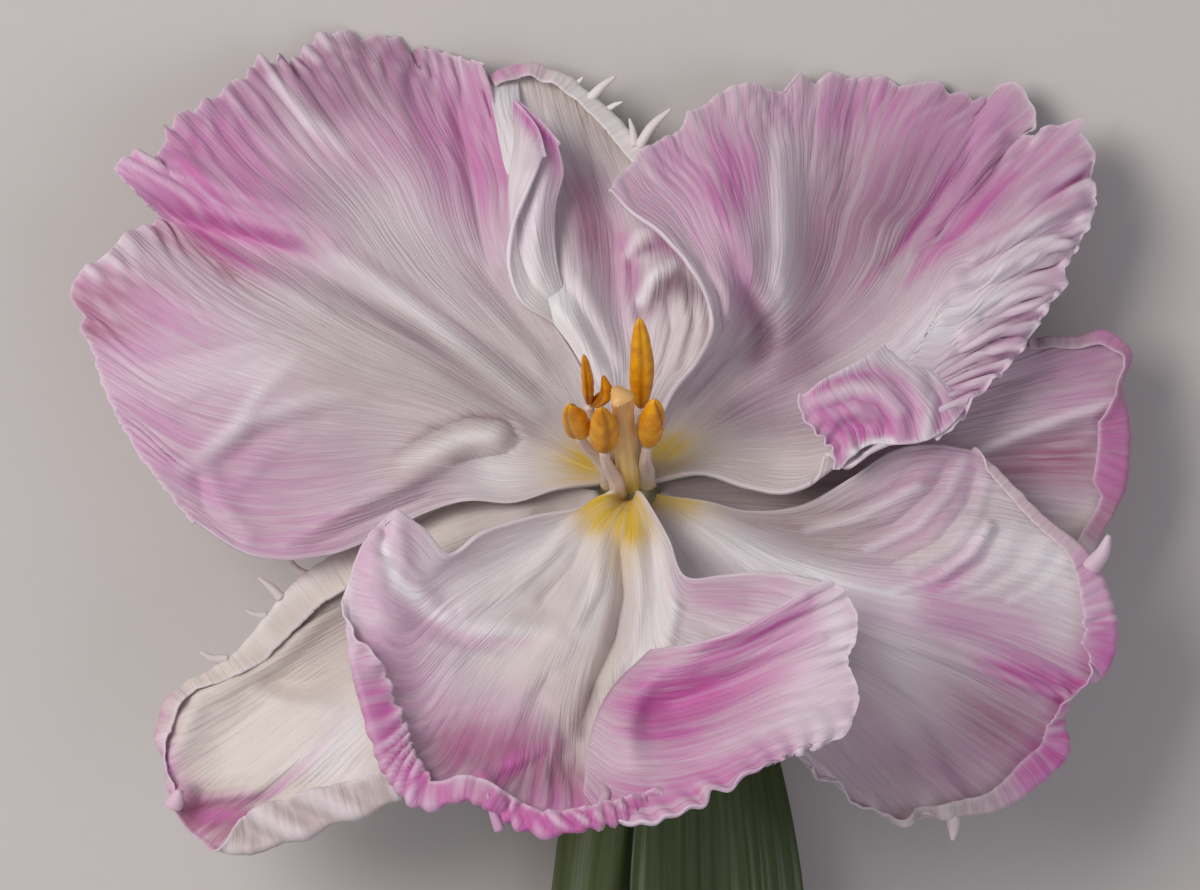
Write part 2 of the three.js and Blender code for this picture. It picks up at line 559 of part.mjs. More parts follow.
// Stem: the receptacle, a bend down to the surface, and a long gentle curve lying on it
const stemPoints = [onBloom(0, 0, -pieceGap), onBloom(0, 0, -neckLength)];
for (const heading of [45, 30, 15, 0]) {
  const rise = (heading * Math.PI) / 180;
  const advance = stemBendRadius * (Math.cos(tiltRadians) - Math.sin(rise));
  const drop = stemBendRadius * (Math.cos(rise) - Math.sin(tiltRadians));
  const start = onBloom(0, 0, -neckLength);
  stemPoints.push([-advance * 0.055, start[1] - advance, start[2] - drop]);
}
stemPoints.push(
  [-3.8, -45, -stemRestHeight],
  [-7.8, -80, -stemRestHeight],
  [-10.4, -150, -stemRestHeight],
  [-7.4, -220, -stemRestHeight],
  [2, stemEnd, -stemRestHeight],
);
const stemPath = curveThrough(stemPoints);
const closerAtTop = (t) => t ** 1.7;
const stemWidths = (t) => {
  const along = closerAtTop(t);
  const shoulder = Math.min(1, (along * stemLength) / receptacleHeight);
  const waist = (stemMiddleRadius - stemRadius) * Math.sin(Math.PI * along);
  const radius = receptacleRadius + (stemRadius - receptacleRadius) * shoulder ** 1.4 + waist;
  return [radius, radius];
};
addPiece("stem", bodyAlong((t) => stemPath(closerAtTop(t)), stemWidths, 40, 18), 0x6d7f45, 0.5);

// Leaves: each clasps the stem at its foot and lies beside it
function around(x, y, radius, degrees) {
  const angle = (degrees * Math.PI) / 180;
  return [x + radius * Math.cos(angle), y, -stemRestHeight + radius * Math.sin(angle)];
}
const upperLeaf = {
  left: [
    around(-9.9, -128, 5.8, 118), [-8.4, -122, -11], [-3.6, -110, -10.4], [0.6, -90, -11], [2.4, -66, -12.4],
    [3, -45, -13.6], [5.6, -25, -15], [9.6, -13, -16],
  ],
  foot: [around(-9.9, -128, 5.8, 75), around(-9.9, -128, 5.8, 30), around(-9.9, -128, 5.8, -10)],
  right: [
    around(-9.9, -128, 5.8, -45), [-2, -122, -20.4], [7.6, -110, -18.6], [17.4, -90, -15], [21.6, -66, -13.6],
    [20, -42, -14.4], [15.4, -24, -16], [10.8, -13, -16.6],
  ],
  rim: [[10.2, -12.6, -16.4]],
  ridges: [{ width: 6, line: [[-2, -120, -1.5], [6, -100, -4], [11, -75, -4.6], [11.6, -50, -3.6], [10.4, -26, -1.6]] }],
};
const lowerLeaf = {
  left: [
    around(-6.7, -226, 6.1, -135), [-15, -216, -19.6], [-27, -196, -16.4], [-37, -168, -13.4], [-40, -138, -13],
    [-37, -108, -14.6], [-30, -84, -17.4], [-24.4, -70, -19],
  ],
  foot: [around(-6.7, -226, 6.1, 170), around(-6.7, -226, 5.9, 110)],
  right: [
    around(-6.7, -226, 6.1, 60), [-8.6, -216, -10.6], [-12.6, -198, -9.6], [-17, -170, -11], [-18, -140, -12.4],
    [-17.6, -108, -14.6], [-19, -86, -17.4], [-22.8, -70, -19.4],
  ],
  rim: [[-23.6, -69.2, -19.3]],
  ridges: [{ width: 7, line: [[-14, -206, -1], [-22, -186, -4], [-28, -150, -5], [-27, -110, -3.6], [-24.5, -84, -1]] }],
};
addPiece("upper_leaf", shellOf(surfaceGrid(upperLeaf, 8, 18, 1), leafThickness), 0x4f6136, 0.5);
addPiece("lower_leaf", shellOf(surfaceGrid(lowerLeaf, 8, 18, 1), leafThickness), 0x53683b, 0.5);

// Stand the flower on z = 0 with the middle of its outline over the origin
const bounds = new THREE.Box3().setFromObject(flower);
const middle = bounds.getCenter(new THREE.Vector3());
flower.position.set(-middle.x, -middle.y, -bounds.min.z);

export default flower;
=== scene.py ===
import math

import bpy
import numpy as np
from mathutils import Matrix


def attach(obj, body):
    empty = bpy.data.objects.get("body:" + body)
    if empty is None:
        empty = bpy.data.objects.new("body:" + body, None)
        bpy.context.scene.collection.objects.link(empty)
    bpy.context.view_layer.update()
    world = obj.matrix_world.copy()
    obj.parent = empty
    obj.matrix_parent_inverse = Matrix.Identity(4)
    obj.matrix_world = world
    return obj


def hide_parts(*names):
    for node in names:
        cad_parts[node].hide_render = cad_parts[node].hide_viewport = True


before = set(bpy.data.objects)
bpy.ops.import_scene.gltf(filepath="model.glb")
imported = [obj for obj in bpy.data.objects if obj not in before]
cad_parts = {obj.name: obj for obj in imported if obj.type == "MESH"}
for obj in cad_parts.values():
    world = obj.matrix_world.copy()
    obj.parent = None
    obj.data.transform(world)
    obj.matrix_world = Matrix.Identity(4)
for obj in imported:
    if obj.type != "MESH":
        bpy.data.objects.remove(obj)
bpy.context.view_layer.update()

print("frame loaded with", len(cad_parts), "nodes")

# Lengths are millimetres from the middle of the receptacle, where the floral pieces meet. x runs to the
# flower's right, y along the stem towards the bloom and z up. addPiece moves everything into the frame.
flower = {
    "receptacle": (2.376, 118.541, 22.364),  # where the receptacle's middle stands in the frame
    "bloomTilt": 30,  # degrees the bloom leans over
    "innerWhorl": 2.5,  # radius of the ring of inner petal claws
    "outerWhorl": 3.6,
    "lowestStep": 0.2,  # how much wider the ring of the lowest petals is than the outer one
    "outerDrop": 1.2,  # how far the outer claws start below the inner ones
    "lowestDrop": 2.3,
}
millimetre = 0.001


# A point at a radius, an angle from +x and a height along the bloom's leaning axis
def onBloom(radius, degrees, height):
    tilt = math.radians(flower["bloomTilt"])
    angle = math.radians(degrees)
    up = radius * math.sin(angle)
    return [
        radius * math.cos(angle),
        up * math.cos(tilt) + height * math.sin(tilt),
        height * math.cos(tilt) - up * math.sin(tilt),
    ]


# Where the claws of the inner, the outer and the lowest petals are attached
def inner(degrees):
    return onBloom(flower["innerWhorl"], degrees, 0)


def outer(degrees):
    return onBloom(flower["outerWhorl"], degrees, -flower["outerDrop"])


def lowest(degrees):
    return onBloom(flower["outerWhorl"] + flower["lowestStep"], degrees, -flower["lowestDrop"])


# Vectors scaled to length one
def unit(vectors):
    return vectors / np.maximum(np.linalg.norm(vectors, axis=-1, keepdims=True), 1e-9)


# A smooth curve through points, walked by its chord length as t goes from 0 to 1: one cubic from each point
# to the next, whose end slopes are the chords' slopes weighted by the gaps on either side
def curveThrough(points, t):
    points = np.array(points, float)
    gaps = np.linalg.norm(np.diff(points, axis=0), axis=1)
    knots = np.concatenate([[0], np.cumsum(gaps)])
    slopes = np.diff(points, axis=0) / gaps[:, None]
    weight = (gaps[:-1] / (gaps[:-1] + gaps[1:]))[:, None]
    middle = slopes[:-1] * (1 - weight) + slopes[1:] * weight
    tangents = np.vstack([slopes[:1], middle, slopes[-1:]])
    at = np.clip(t, 0, 1) * knots[-1]
    i = np.clip(np.searchsorted(knots, at, side="right") - 1, 0, len(gaps) - 1)
    step = gaps[i][:, None]
    s = (at - knots[i])[:, None] / step
    start = points[i] * (2 * s**3 - 3 * s**2 + 1) + tangents[i] * (s**3 - 2 * s**2 + s) * step
    end = points[i + 1] * (3 * s**2 - 2 * s**3) + tangents[i + 1] * (s**3 - s**2) * step
    return start + end


# What a stroke gives every place: the strength at the nearest point of its line, evened out where two
# stretches lie about as near, times a bell curve of the distance to it. A stroke is its width, and then
# x, y and strength of each of its points.
def bellAlong(stroke, x, y):
    width, line = stroke[0], np.reshape(stroke[1:], (-1, 3)).tolist()
    distances = []
    strengths = []
    nearestWins = 4  # a higher value evens out less
    for (ax, ay, ah), (bx, by, bh) in zip(line, line[1:]):
        run = (bx - ax) ** 2 + (by - ay) ** 2
        s = np.clip(((x - ax) * (bx - ax) + (y - ay) * (by - ay)) / run, 0, 1)
        distances.append(np.hypot(x - ax - s * (bx - ax), y - ay - s * (by - ay)))
        strengths.append(ah + s * (bh - ah))
    nearest = np.min(distances, axis=0)
    share = np.exp(-nearestWins * (np.square(distances) - nearest**2) / width**2)
    return (share * strengths).sum(axis=0) / share.sum(axis=0) * np.exp(-((nearest / width) ** 2))


# Seeded smooth noise from -1 to 1: random values on a lattice, joined by cubic steps along x and y
def latticeNoise(seed, x, y):
    size = 64
    table = np.random.default_rng(seed).uniform(-1, 1, (size, size))
    column = np.floor(x).astype(int)
    row = np.floor(y).astype(int)
    s = x - column
    t = y - row
    s = s * s * (3 - 2 * s)
    t = t * t * (3 - 2 * t)
    left, right = column % size, (column + 1) % size
    below, above = row % size, (row + 1) % size
    low = table[below, left] * (1 - s) + table[below, right] * s
    high = table[above, left] * (1 - s) + table[above, right] * s
    return low * (1 - t) + high * t


# The value at every u of a table whose rows start with a place from 0 to 1, in straight runs between them
def tableAlong(u, table, column=1):
    return np.interp(u, [row[0] for row in table], [row[column] for row in table])


# Each point's direction away from the sheet's lower face
def sheetNormals(points):
    return unit(np.cross(np.gradient(points, axis=1), np.gradient(points, axis=0)))


# Each row of vectors averaged with its neighbours
def evened(vectors, count):
    padded = np.pad(vectors, ((count // 2, count // 2), (0, 0)), "edge")
    return np.stack([np.convolve(padded[:, k], np.ones(count) / count, "valid") for k in range(3)], axis=1)


# Distance walked along an axis of the grid, from its first line
def walked(points, axis):
    steps = np.linalg.norm(np.diff(points, axis=axis), axis=-1)
    return np.concatenate([np.zeros_like(np.take(steps, [0], axis)), np.cumsum(steps, axis)], axis)


# What all sheets, petals and leaves, have in common where their own table doesn't state it
sheetSizes = {
    "rowPower": 0.85,  # crowds the rows of the grid towards the rim
    "footFade": 5,  # ridges and folds have their full height from one fifth of the length onwards
    "pullDepth": 3.0,  # how far inwards the pull towards the outline is felt
    "roll": [[0, 0.4, 0], [1, 0.4, 0]],  # place along the rim, reach of the strip past it, degrees it turns
    "stripRows": 16,
    "pleat": 0.06,  # height of the fine pleats that fan out with the veins
    "pleatWidths": (0.9, 2.1),
    "pleatReach": 16,  # how far inwards from the rim they keep their height
    "teeth": [[0, 0.35], [1, 0.35]],  # place along the rim, depth of the fraying
    "toothWidth": 1.1,
    "toothPower": 0.6,  # below one, the teeth stand close with narrow cuts between them
    "toothMiddle": 0.4,  # share of a tooth's depth that lies inside the rim
    "fullCrest": 0.4,  # height at which a wave counts as a full crest
}
# Waves of the free edge. Noise makes them stronger and weaker, shifts them and adds smaller ones: its size,
# then the waves and the millimetres inwards from one of its values to the next.
frillNoise = {"gust": (0.75, 1.6, 12), "shift": (7, 3.2, 9), "ripple": (0.6, 1.7, 5)}
hemNoise = {"gust": (0.6, 1.4, 9), "shift": (5, 3, 9)}
frillStrength, hemStrength = 0.75, 0.8  # share of their height that the waves have on average
waveFall = 1.4  # power with which the waves die away inwards


# The sheet between four edges, a Coons patch: the blend of the sides plus the blend of foot and rim, less
# the blend of the corners. Ridges and folds then lift it in z, fading in from the foot.
def patchPoints(net, u, v):
    footPoints = [net["left"][0], *net["foot"], net["right"][0]]
    rimPoints = [net["left"][-1], *net["rim"], net["right"][-1]]
    across = u[None, :, None]
    outward = v[:, None, None]
    left = curveThrough(net["left"], v)[:, None]
    right = curveThrough(net["right"], v)[:, None]
    foot = curveThrough(footPoints, u)[None]
    rim = curveThrough(rimPoints, u)[None]
    near = np.array(footPoints[0]) * (1 - across) + np.array(footPoints[-1]) * across
    far = np.array(rimPoints[0]) * (1 - across) + np.array(rimPoints[-1]) * across
    points = left * (1 - across) + right * across + foot * (1 - outward) + rim * outward
    points = points - near * (1 - outward) - far * outward
    strokes = net["ridges"] + net.get("folds", [])
    lift = sum(bellAlong(stroke, points[..., 0], points[..., 1]) for stroke in strokes)
    points[..., 2] += lift * np.minimum(1, outward[..., 0] * sheetSizes["footFade"])
    return points


# The rim drawn to the outline's points by the offsets at the nearest places, spread along the rim in
# straight runs and fading inwards as a bell curve
def drawnToOutline(points, outline, alongRim):
    outline = np.array(outline, float)
    gaps = np.linalg.norm(points[-1][None, :, :2] - outline[:, None], axis=2)
    nearest = gaps.argmin(axis=1)
    order = np.argsort(nearest, kind="stable")
    pulls = (outline - points[-1][nearest, :2])[order]
    at = alongRim[nearest][order]
    edge = walked(points, 0)
    fade = np.exp(-(((edge[-1:] - edge) / sheetSizes["pullDepth"]) ** 2))
    for axis in (0, 1):
        points[..., axis] += fade * np.interp(alongRim, at, pulls[:, axis])
    return points


# The strip past the rim, a sum of small steps: it sets out at right angles to the rim, bends over by the
# roll's degrees within the share of its width called bend, and then runs straight
def bentStrip(net, points, u):
    smoothRim = patchPoints(net, u, np.array([1.0]))[0]
    alongRim = unit(evened(np.gradient(smoothRim, axis=0), 9))
    level = evened(sheetNormals(points)[-4], 31)
    outwards = unit(evened(unit(np.cross(level, alongRim)), 11))
    facing = unit(np.cross(alongRim, outwards))
    roll = net.get("roll", sheetSizes["roll"])
    rows = net.get("stripRows", sheetSizes["stripRows"])
    reach = tableAlong(u, roll)
    turn = np.radians(tableAlong(u, roll, 2))
    step = (np.arange(rows) + 0.5) / rows
    angle = turn[None] * np.minimum(1, step / net.get("bend", 1))[:, None]
    ahead = np.cumsum(np.cos(angle), axis=0) * reach / rows
    rise = np.cumsum(np.sin(angle), axis=0) * reach / rows
    strip = ahead[..., None] * outwards + rise[..., None] * facing
    return points[-1][None] + strip


# Height of the waves of a free edge: a sine of the slanting distance along it with its strength and phase
# changed by noise, times a fall inwards from the edge
def edgeWaves(across, inwards, depth, noise, seeds, strength):
    size, apart, deep = noise["gust"]
    gust = strength + size * latticeNoise(seeds[0], across / apart, inwards / deep)
    size, apart, deep = noise["shift"]
    wave = np.sin(2 * np.pi * across + size * latticeNoise(seeds[1], across / apart, inwards / deep))
    if "ripple" in noise:
        size, often, deep = noise["ripple"]
        wave = wave + size * latticeNoise(seeds[2], across * often, inwards / deep)
    return gust, wave, np.exp(-((inwards / depth) ** waveFall))


# A petal's or leaf's middle sheet, rows from foot to rim and columns from its left side to its right: the
# patch with the strip past its rim, then frills, hem and fine pleats along its normals, and last the free
# edge frayed by random teeth. It also gives each place's distance to the rim, its place along the rim, its
# share of the way from the foot, and where a wave stands high, from -1 to 1.
def finishedSheet(net):
    columns, rows = net["grid"]
    seed = net["seed"]
    u = np.linspace(0, 1, columns + 1)
    v = np.linspace(0, 1, rows + 1) ** sheetSizes["rowPower"]
    points = patchPoints(net, u, v)
    alongRim = walked(points[-1], 0)
    if "outline" in net:
        points = drawnToOutline(points, net["outline"], alongRim)
    strip = bentStrip(net, points, u)
    points = np.concatenate([points, strip])
    down = walked(points, 0)
    toRim = down[-1:] - down
    rowShare = np.concatenate([v, np.ones(len(strip))])[:, None]
    fan = np.linalg.norm(np.gradient(points, axis=1), axis=2) * columns / alongRim[-1]
    normals = sheetNormals(points)
    place = np.broadcast_to(alongRim[None], toRim.shape)
    push = 0
    for number, frill in enumerate(net.get("frills", [])):
        start = seed + 500 * number
        across = (place + frill.get("slant", 0) * toRim) / frill["wave"]
        seeds = (start + 5, start, start + 1)
        gust, wave, fall = edgeWaves(across, toRim, frill["depth"], frillNoise, seeds, frillStrength)
        push = push + tableAlong(u, frill["height"])[None] * gust * wave * fall
    if "hem" in net:
        side = walked(points, 1)
        toSide = side[:, -1:] - side
        along = (down[:, -1:] + toSide) / net["hem"]["wave"]
        seeds = (seed + 9, seed + 8)
        gust, wave, fall = edgeWaves(along, toSide, net["hem"]["depth"], hemNoise, seeds, hemStrength)
        height = net["hem"]["height"] * np.clip(3 * rowShare - 0.4, 0, 1)
        push = push + height * gust * wave * fall
    crest = np.clip(push / sheetSizes["fullCrest"], -1, 1)
    fine, broad = sheetSizes["pleatWidths"]
    pleats = latticeNoise(seed + 2, place / fine, rowShare * 4)
    pleats = pleats + 0.9 * latticeNoise(seed + 3, place / broad, rowShare * 3)
    pleatFall = 0.3 + 0.7 * np.exp(-toRim / sheetSizes["pleatReach"])
    wideEnough = np.clip(fan * 1.6 - 0.2, 0, 1)
    push = push + net.get("pleat", sheetSizes["pleat"]) * pleatFall * pleats * wideEnough
    points = points + normals * push[..., None]
    teeth = np.abs(latticeNoise(seed + 4, place / sheetSizes["toothWidth"], 0 * place))
    depth = tableAlong(u, net.get("teeth", sheetSizes["teeth"]))[None]
    teeth = teeth ** sheetSizes["toothPower"] - sheetSizes["toothMiddle"]
    fray = depth * teeth * np.exp(-((toRim / sheetSizes["toothWidth"]) ** 2))
    points = points + unit(np.gradient(points, axis=0)) * fray[..., None]
    return points, toRim, place, rowShare, crest


# Every grid cell as a four-cornered face that points to the sheet's upper side
def gridFaces(rows, columns):
    corner = (np.arange(rows - 1)[:, None] * columns + np.arange(columns - 1)[None]).ravel()
    return np.stack([corner, corner + 1, corner + columns + 1, corner + columns], axis=1)


# The closed wall about a sheet: both faces lie half the thickness from it, and a strip joins them all round
def wallAbout(points, thickness):
    rows, columns = points.shape[:2]
    offset = sheetNormals(points) * (thickness / 2)[..., None]
    vertices = np.concatenate([(points + offset).reshape(-1, 3), (points - offset).reshape(-1, 3)])
    top = gridFaces(rows, columns)
    bottom = top[:, ::-1] + rows * columns
    index = np.arange(rows * columns).reshape(rows, columns)
    border = np.concatenate([index[0, :-1], index[:-1, -1], index[-1, :0:-1], index[:0:-1, 0]])
    following = np.roll(border, -1)
    strip = np.stack([following, border, border + rows * columns, following + rows * columns], axis=1)
    return vertices, np.concatenate([top, bottom, strip])


# A sheet's wall with its corner map: millimetres across and along the veins, the same for both faces
def wallWithMap(points, thickness, across, share):
    vertices, quads = wallAbout(points, thickness)
    length = walked(points, 0)[-1].mean()
    flat = np.stack([across, np.broadcast_to(share * length, across.shape)], axis=-1).reshape(-1, 2)
    return vertices, quads, np.zeros((0, 3), int), np.concatenate([flat, flat])[quads.ravel()]


# A round body carried along a path: rings of points about it, each with two half widths, closed by a point
# at either end. shape(t, angle) scales the ring at that place.
def bodyAlong(path, widths, rings, sides, shape):
    t = np.linspace(0, 1, rings + 1)
    centre = path(t)
    ahead = unit(path(np.minimum(t + 0.01, 1)) - path(np.maximum(t - 0.01, 0)))
    start = np.array([0.0, 1, 0]) if abs(ahead[0, 0]) > 0.9 else np.array([1.0, 0, 0])
    side = unit(start[None] - ahead * (ahead @ start)[:, None])
    other = np.cross(ahead, side)
    angle = np.linspace(0, 2 * np.pi, sides, endpoint=False)
    grow = shape(t[:, None], angle[None])
    wide, thick = widths(t)
    ring = side[:, None] * (np.cos(angle) * grow * wide[:, None])[..., None]
    ring = ring + other[:, None] * (np.sin(angle) * grow * thick[:, None])[..., None]
    vertices = np.concatenate([(centre[:, None] + ring).reshape(-1, 3), centre[:1], centre[-1:]])
    row = np.arange(rings)[:, None] * sides
    here = np.arange(sides)[None]
    after = (here + 1) % sides
    quads = np.stack([row + here, row + after, row + after + sides, row + here + sides], axis=-1)
    pole = (rings + 1) * sides
    last = rings * sides
    foot = np.stack([np.full(sides, pole), after[0], here[0]], axis=1)
    tip = np.stack([np.full(sides, pole + 1), last + here[0], last + after[0]], axis=1)
    around = angle / (2 * np.pi)
    steps = ((0, t[:-1]), (1 / sides, t[:-1]), (1 / sides, t[1:]), (0, t[1:]))
    corners = [np.broadcast_arrays(around[None] + turn, height[:, None]) for turn, height in steps]
    corners = np.stack([np.stack(corner, -1) for corner in corners], axis=2).reshape(-1, 2)
    ends = np.concatenate([np.tile([[0.5, 0.0]], (3 * sides, 1)), np.tile([[0.5, 1.0]], (3 * sides, 1))])
    return vertices, quads.reshape(-1, 4), np.concatenate([foot, tip]), np.concatenate([corners, ends])


# Several meshes of points, quads, triangles and corner map as one
def joined(parts):
    vertices, quads, triangles, quadMaps, triangleMaps = [], [], [], [], []
    count = 0
    for points, fours, threes, maps in parts:
        vertices.append(points)
        quads.append(fours + count)
        triangles.append(threes + count)
        quadMaps.append(maps[: 4 * len(fours)])
        triangleMaps.append(maps[4 * len(fours):])
        count += len(points)
    maps = np.concatenate(quadMaps + triangleMaps)
    return np.concatenate(vertices), np.concatenate(quads), np.concatenate(triangles), maps


# Puts a finished shape into the frame: one object at the origin, with its place in its mesh, that rides on
# the body and stands for its CAD node
def addPiece(name, shape, marks, material, node):
    vertices, quads, triangles, maps = shape
    mesh = bpy.data.meshes.new(name)
    places = (vertices + np.array(flower["receptacle"])) * millimetre
    mesh.from_pydata(places.tolist(), [], quads.tolist() + triangles.tolist())
    mesh.uv_layers.new(name="veins").data.foreach_set("uv", maps.astype(np.float32).ravel())
    for mark, values in marks.items():
        mesh.attributes.new(mark, "FLOAT", "POINT").data.foreach_set("value", values.astype(np.float32))
    mesh.shade_smooth()
    mesh.materials.append(material)
    mesh.validate()
    piece = bpy.data.objects.new(name, mesh)
    bpy.context.collection.objects.link(piece)
    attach(piece, "root")
    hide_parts(node)


# Materials. Colours are sRGB hex values, turned to linear light here.
def linear(hexColour):
    parts = [int(hexColour[i : i + 2], 16) / 255 for i in (0, 2, 4)]
    return [*[c / 12.92 if c <= 0.04045 else ((c + 0.055) / 1.055) ** 2.4 for c in parts], 1.0]


# Adds a node, sets its properties, and fills its inputs with values or links them to other nodes' outputs
def addNode(tree, kind, inputs=None, **settings):
    made = tree.nodes.new("ShaderNode" + kind)
    for name, value in settings.items():
        setattr(made, name, value)
    for socket, value in (inputs or {}).items():
        if isinstance(value, bpy.types.NodeSocket):
            tree.links.new(value, made.inputs[socket])
        else:
            made.inputs[socket].default_value = value
    return made


def newMaterial(name):
    material = bpy.data.materials.new(name)
    material.use_nodes = True
    material.node_tree.nodes.clear()
    return material, material.node_tree


def finishMaterial(tree, inputs):
    shader = addNode(tree, "BsdfPrincipled", inputs)
    addNode(tree, "OutputMaterial", {"Surface": shader.outputs["BSDF"]})


# Noise drawn out along the veins, from a size in millimetres across and along them, with the values between
# low and high stretched to run from 0 to 1
def veinNoise(tree, size, low, high, **settings):
    veins = addNode(tree, "UVMap", uv_map="veins")
    scale = (1 / size[0] / 2, 1 / size[1], 1)
    placed = addNode(tree, "Mapping", {"Vector": veins.outputs["UV"], "Scale": scale})
    noise = addNode(tree, "TexNoise", {"Vector": placed.outputs[0], "Scale": 1.0, "Detail": 3.0})
    return addNode(tree, "MapRange", {"Value": noise.outputs[0], 1: low, 2: high}, **settings).outputs[0]


# Fresh tulip petal: thin moist tissue with a soft satin sheen, light soaking a little way in. Pink and
# magenta pigment runs out along the veins in streaks about half a millimetre wide, over near-white tissue
# with grey-lilac veins.
petalFinish = {
    "clawThickness": 0.9,
    "thickness": 0.55,
    "rimThickness": 0.22,
    "clawFade": 9,  # the claw's thickness has gone after about one ninth of the length
    "rimFade": 2.5,  # millimetres inwards over which the wall thickens
    "tissue": "ddd3d6",
    "veins": "b3a2a8",
    "streak": (0.5, 16),  # millimetres across and along a streak at the rim
    "band": (2.8, 40),  # broad drifts of colour
    "line": (0.28, 9),  # the finest veins
    "layers": [  # mark, colour, how far the streaks break it up
        ["cream", "ded4ca", 0.2],
        # The mauve layer is partly the petal's own mauve and partly painted shade in hollows, grooves and
        # shadowed parts
        ["mauveAndShade", "8c6b7c", 0.35],
        ["pink", "cf93bd", 0.4],
        ["rose", "a4647c", 0.5],
        ["magenta", "c668aa", 0.6],
        # The white layer is partly white tissue and partly painted highlight on crests and on slopes turned
        # from the lamp
        ["whiteAndHighlight", "f3eff1", 0.3],
        ["yellow", "e4bd28", 0.5],
        # The rim layer is a painted highlight along free edges and wave crests, and the spurs' own pale
        # tint
        ["rim", "f4eaf1", 0.0],
    ],
    "edgeHighlightWidth": 0.4,  # the painted highlight of the free edge reaches this far in
    "edgeHighlight": 0.45,  # strength of that painted highlight, where a petal's own table doesn't say
    "crestHighlight": 0.45,  # the same for the crests of the waves
    # painted shade in the valleys between the waves
    "valleyShade": 0.3,
    "spurLight": 0.3,
    "spurRise": 0.8,
    "spurTaper": 0.75,  # share of its radius that a spur loses by its end
}


def petalMaterial():
    material, tree = newMaterial("tulipPetal")
    soft = {"interpolation_type": "SMOOTHSTEP"}
    names = ("streak", "band", "line")
    streak, band, line = [veinNoise(tree, petalFinish[name], 0.36, 0.64, **soft) for name in names]
    both = addNode(tree, "Math", {0: streak, 1: 0.6, 2: 0.0}, operation="MULTIPLY_ADD")
    streaks = addNode(tree, "Math", {0: band, 1: 0.4, 2: both.outputs[0]}, operation="MULTIPLY_ADD")
    faint = addNode(tree, "Math", {0: line, 1: 0.3}, operation="MULTIPLY")
    tissue = {0: faint.outputs[0], 6: linear(petalFinish["tissue"]), 7: linear(petalFinish["veins"])}
    colour = addNode(tree, "Mix", tissue, data_type="RGBA").outputs[2]
    for mark, hexColour, broken in petalFinish["layers"]:
        painted = addNode(tree, "Attribute", attribute_name=mark)
        gain = {0: streaks.outputs[0], 1: 2 * broken, 2: 1 - broken}
        gained = addNode(tree, "Math", gain, operation="MULTIPLY_ADD")
        share = {0: painted.outputs["Fac"], 1: gained.outputs[0]}
        amount = addNode(tree, "Math", share, operation="MULTIPLY", use_clamp=True)
        layer = {0: amount.outputs[0], 6: colour, 7: linear(hexColour)}
        colour = addNode(tree, "Mix", layer, data_type="RGBA").outputs[2]
    relief = addNode(tree, "Math", {0: streak, 1: 0.5, 2: line}, operation="MULTIPLY_ADD")
    bump = addNode(tree, "Bump", {"Height": relief.outputs[0], "Strength": 0.5, "Distance": 0.00014})
    finishMaterial(tree, {
        "Base Color": colour,
        "Roughness": 0.52,
        "Specular IOR Level": 0.35,
        "Subsurface Weight": 0.2,
        "Subsurface Radius": (1.0, 0.6, 0.7),
        "Subsurface Scale": 0.0006,
        "Sheen Weight": 0.15,
        "Sheen Roughness": 0.4,
        "Normal": bump.outputs["Normal"],
    })
    return material


# Strength of each colour mark at every place, pigment or painted shade and highlight: strokes cover one
# another like washes, one minus the product of what each lets through
def strokeColours(paint, points):
    marks = {}
    for mark, _, _ in petalFinish["layers"]:
        through = np.ones(points.shape[:-1])
        for stroke in paint.get(mark, []):
            through = through * (1 - np.clip(bellAlong(stroke, points[..., 0], points[..., 1]), 0, 1))
        marks[mark] = 1 - through
    return marks


# The colour marks of a sheet's upper and lower faces. Its free edges and the crests of its waves get a
# painted highlight, and the valleys between the waves a painted shade in mauve.
def faceMarksWithPaintedLight(net, points, toRim, share, crest):
    acrossRow = walked(points, 1)
    edge = np.minimum(toRim, np.minimum(acrossRow, acrossRow[:, -1:] - acrossRow))
    # A painted highlight along the free edges, fading in from the foot
    rim = np.exp(-((edge / petalFinish["edgeHighlightWidth"]) ** 2)) * np.clip(share * 4, 0, 1)
    rim = rim * net.get("edgeHighlight", petalFinish["edgeHighlight"])
    faces = [strokeColours(paint, points) for paint in (net["paint"], net.get("back", net["paint"]))]
    # The crests of the waves get a painted highlight and the valleys painted shade; on the lower face they
    # swap
    for face, high in zip(faces, (crest, -crest)):
        face["rim"] = np.maximum(rim, petalFinish["crestHighlight"] * np.clip(high, 0, 1) ** 1.5)
        face["mauveAndShade"] = np.maximum(face["mauveAndShade"], petalFinish["valleyShade"] * np.clip(-high, 0, 1))
    return faces


# A spur of the fringe: a round body that tapers with the square of t and grows out of the nearest place on
# the sheet
def spurBody(radius, line, points):
    line = np.reshape(line, (-1, 2)).astype(float)
    gap = np.hypot(points[..., 0] - line[0, 0], points[..., 1] - line[0, 1])
    height = points[..., 2].ravel()[gap.argmin()]
    path = np.column_stack([line, np.linspace(height, height + petalFinish["spurRise"], len(line))])

    def widths(t):
        narrowed = radius * (1 - petalFinish["spurTaper"] * t**2)
        return narrowed, narrowed

    def shape(t, angle):
        return np.ones(np.broadcast_shapes(t.shape, angle.shape))

    return bodyAlong(lambda t: curveThrough(path, t), widths, 14, 10, shape)


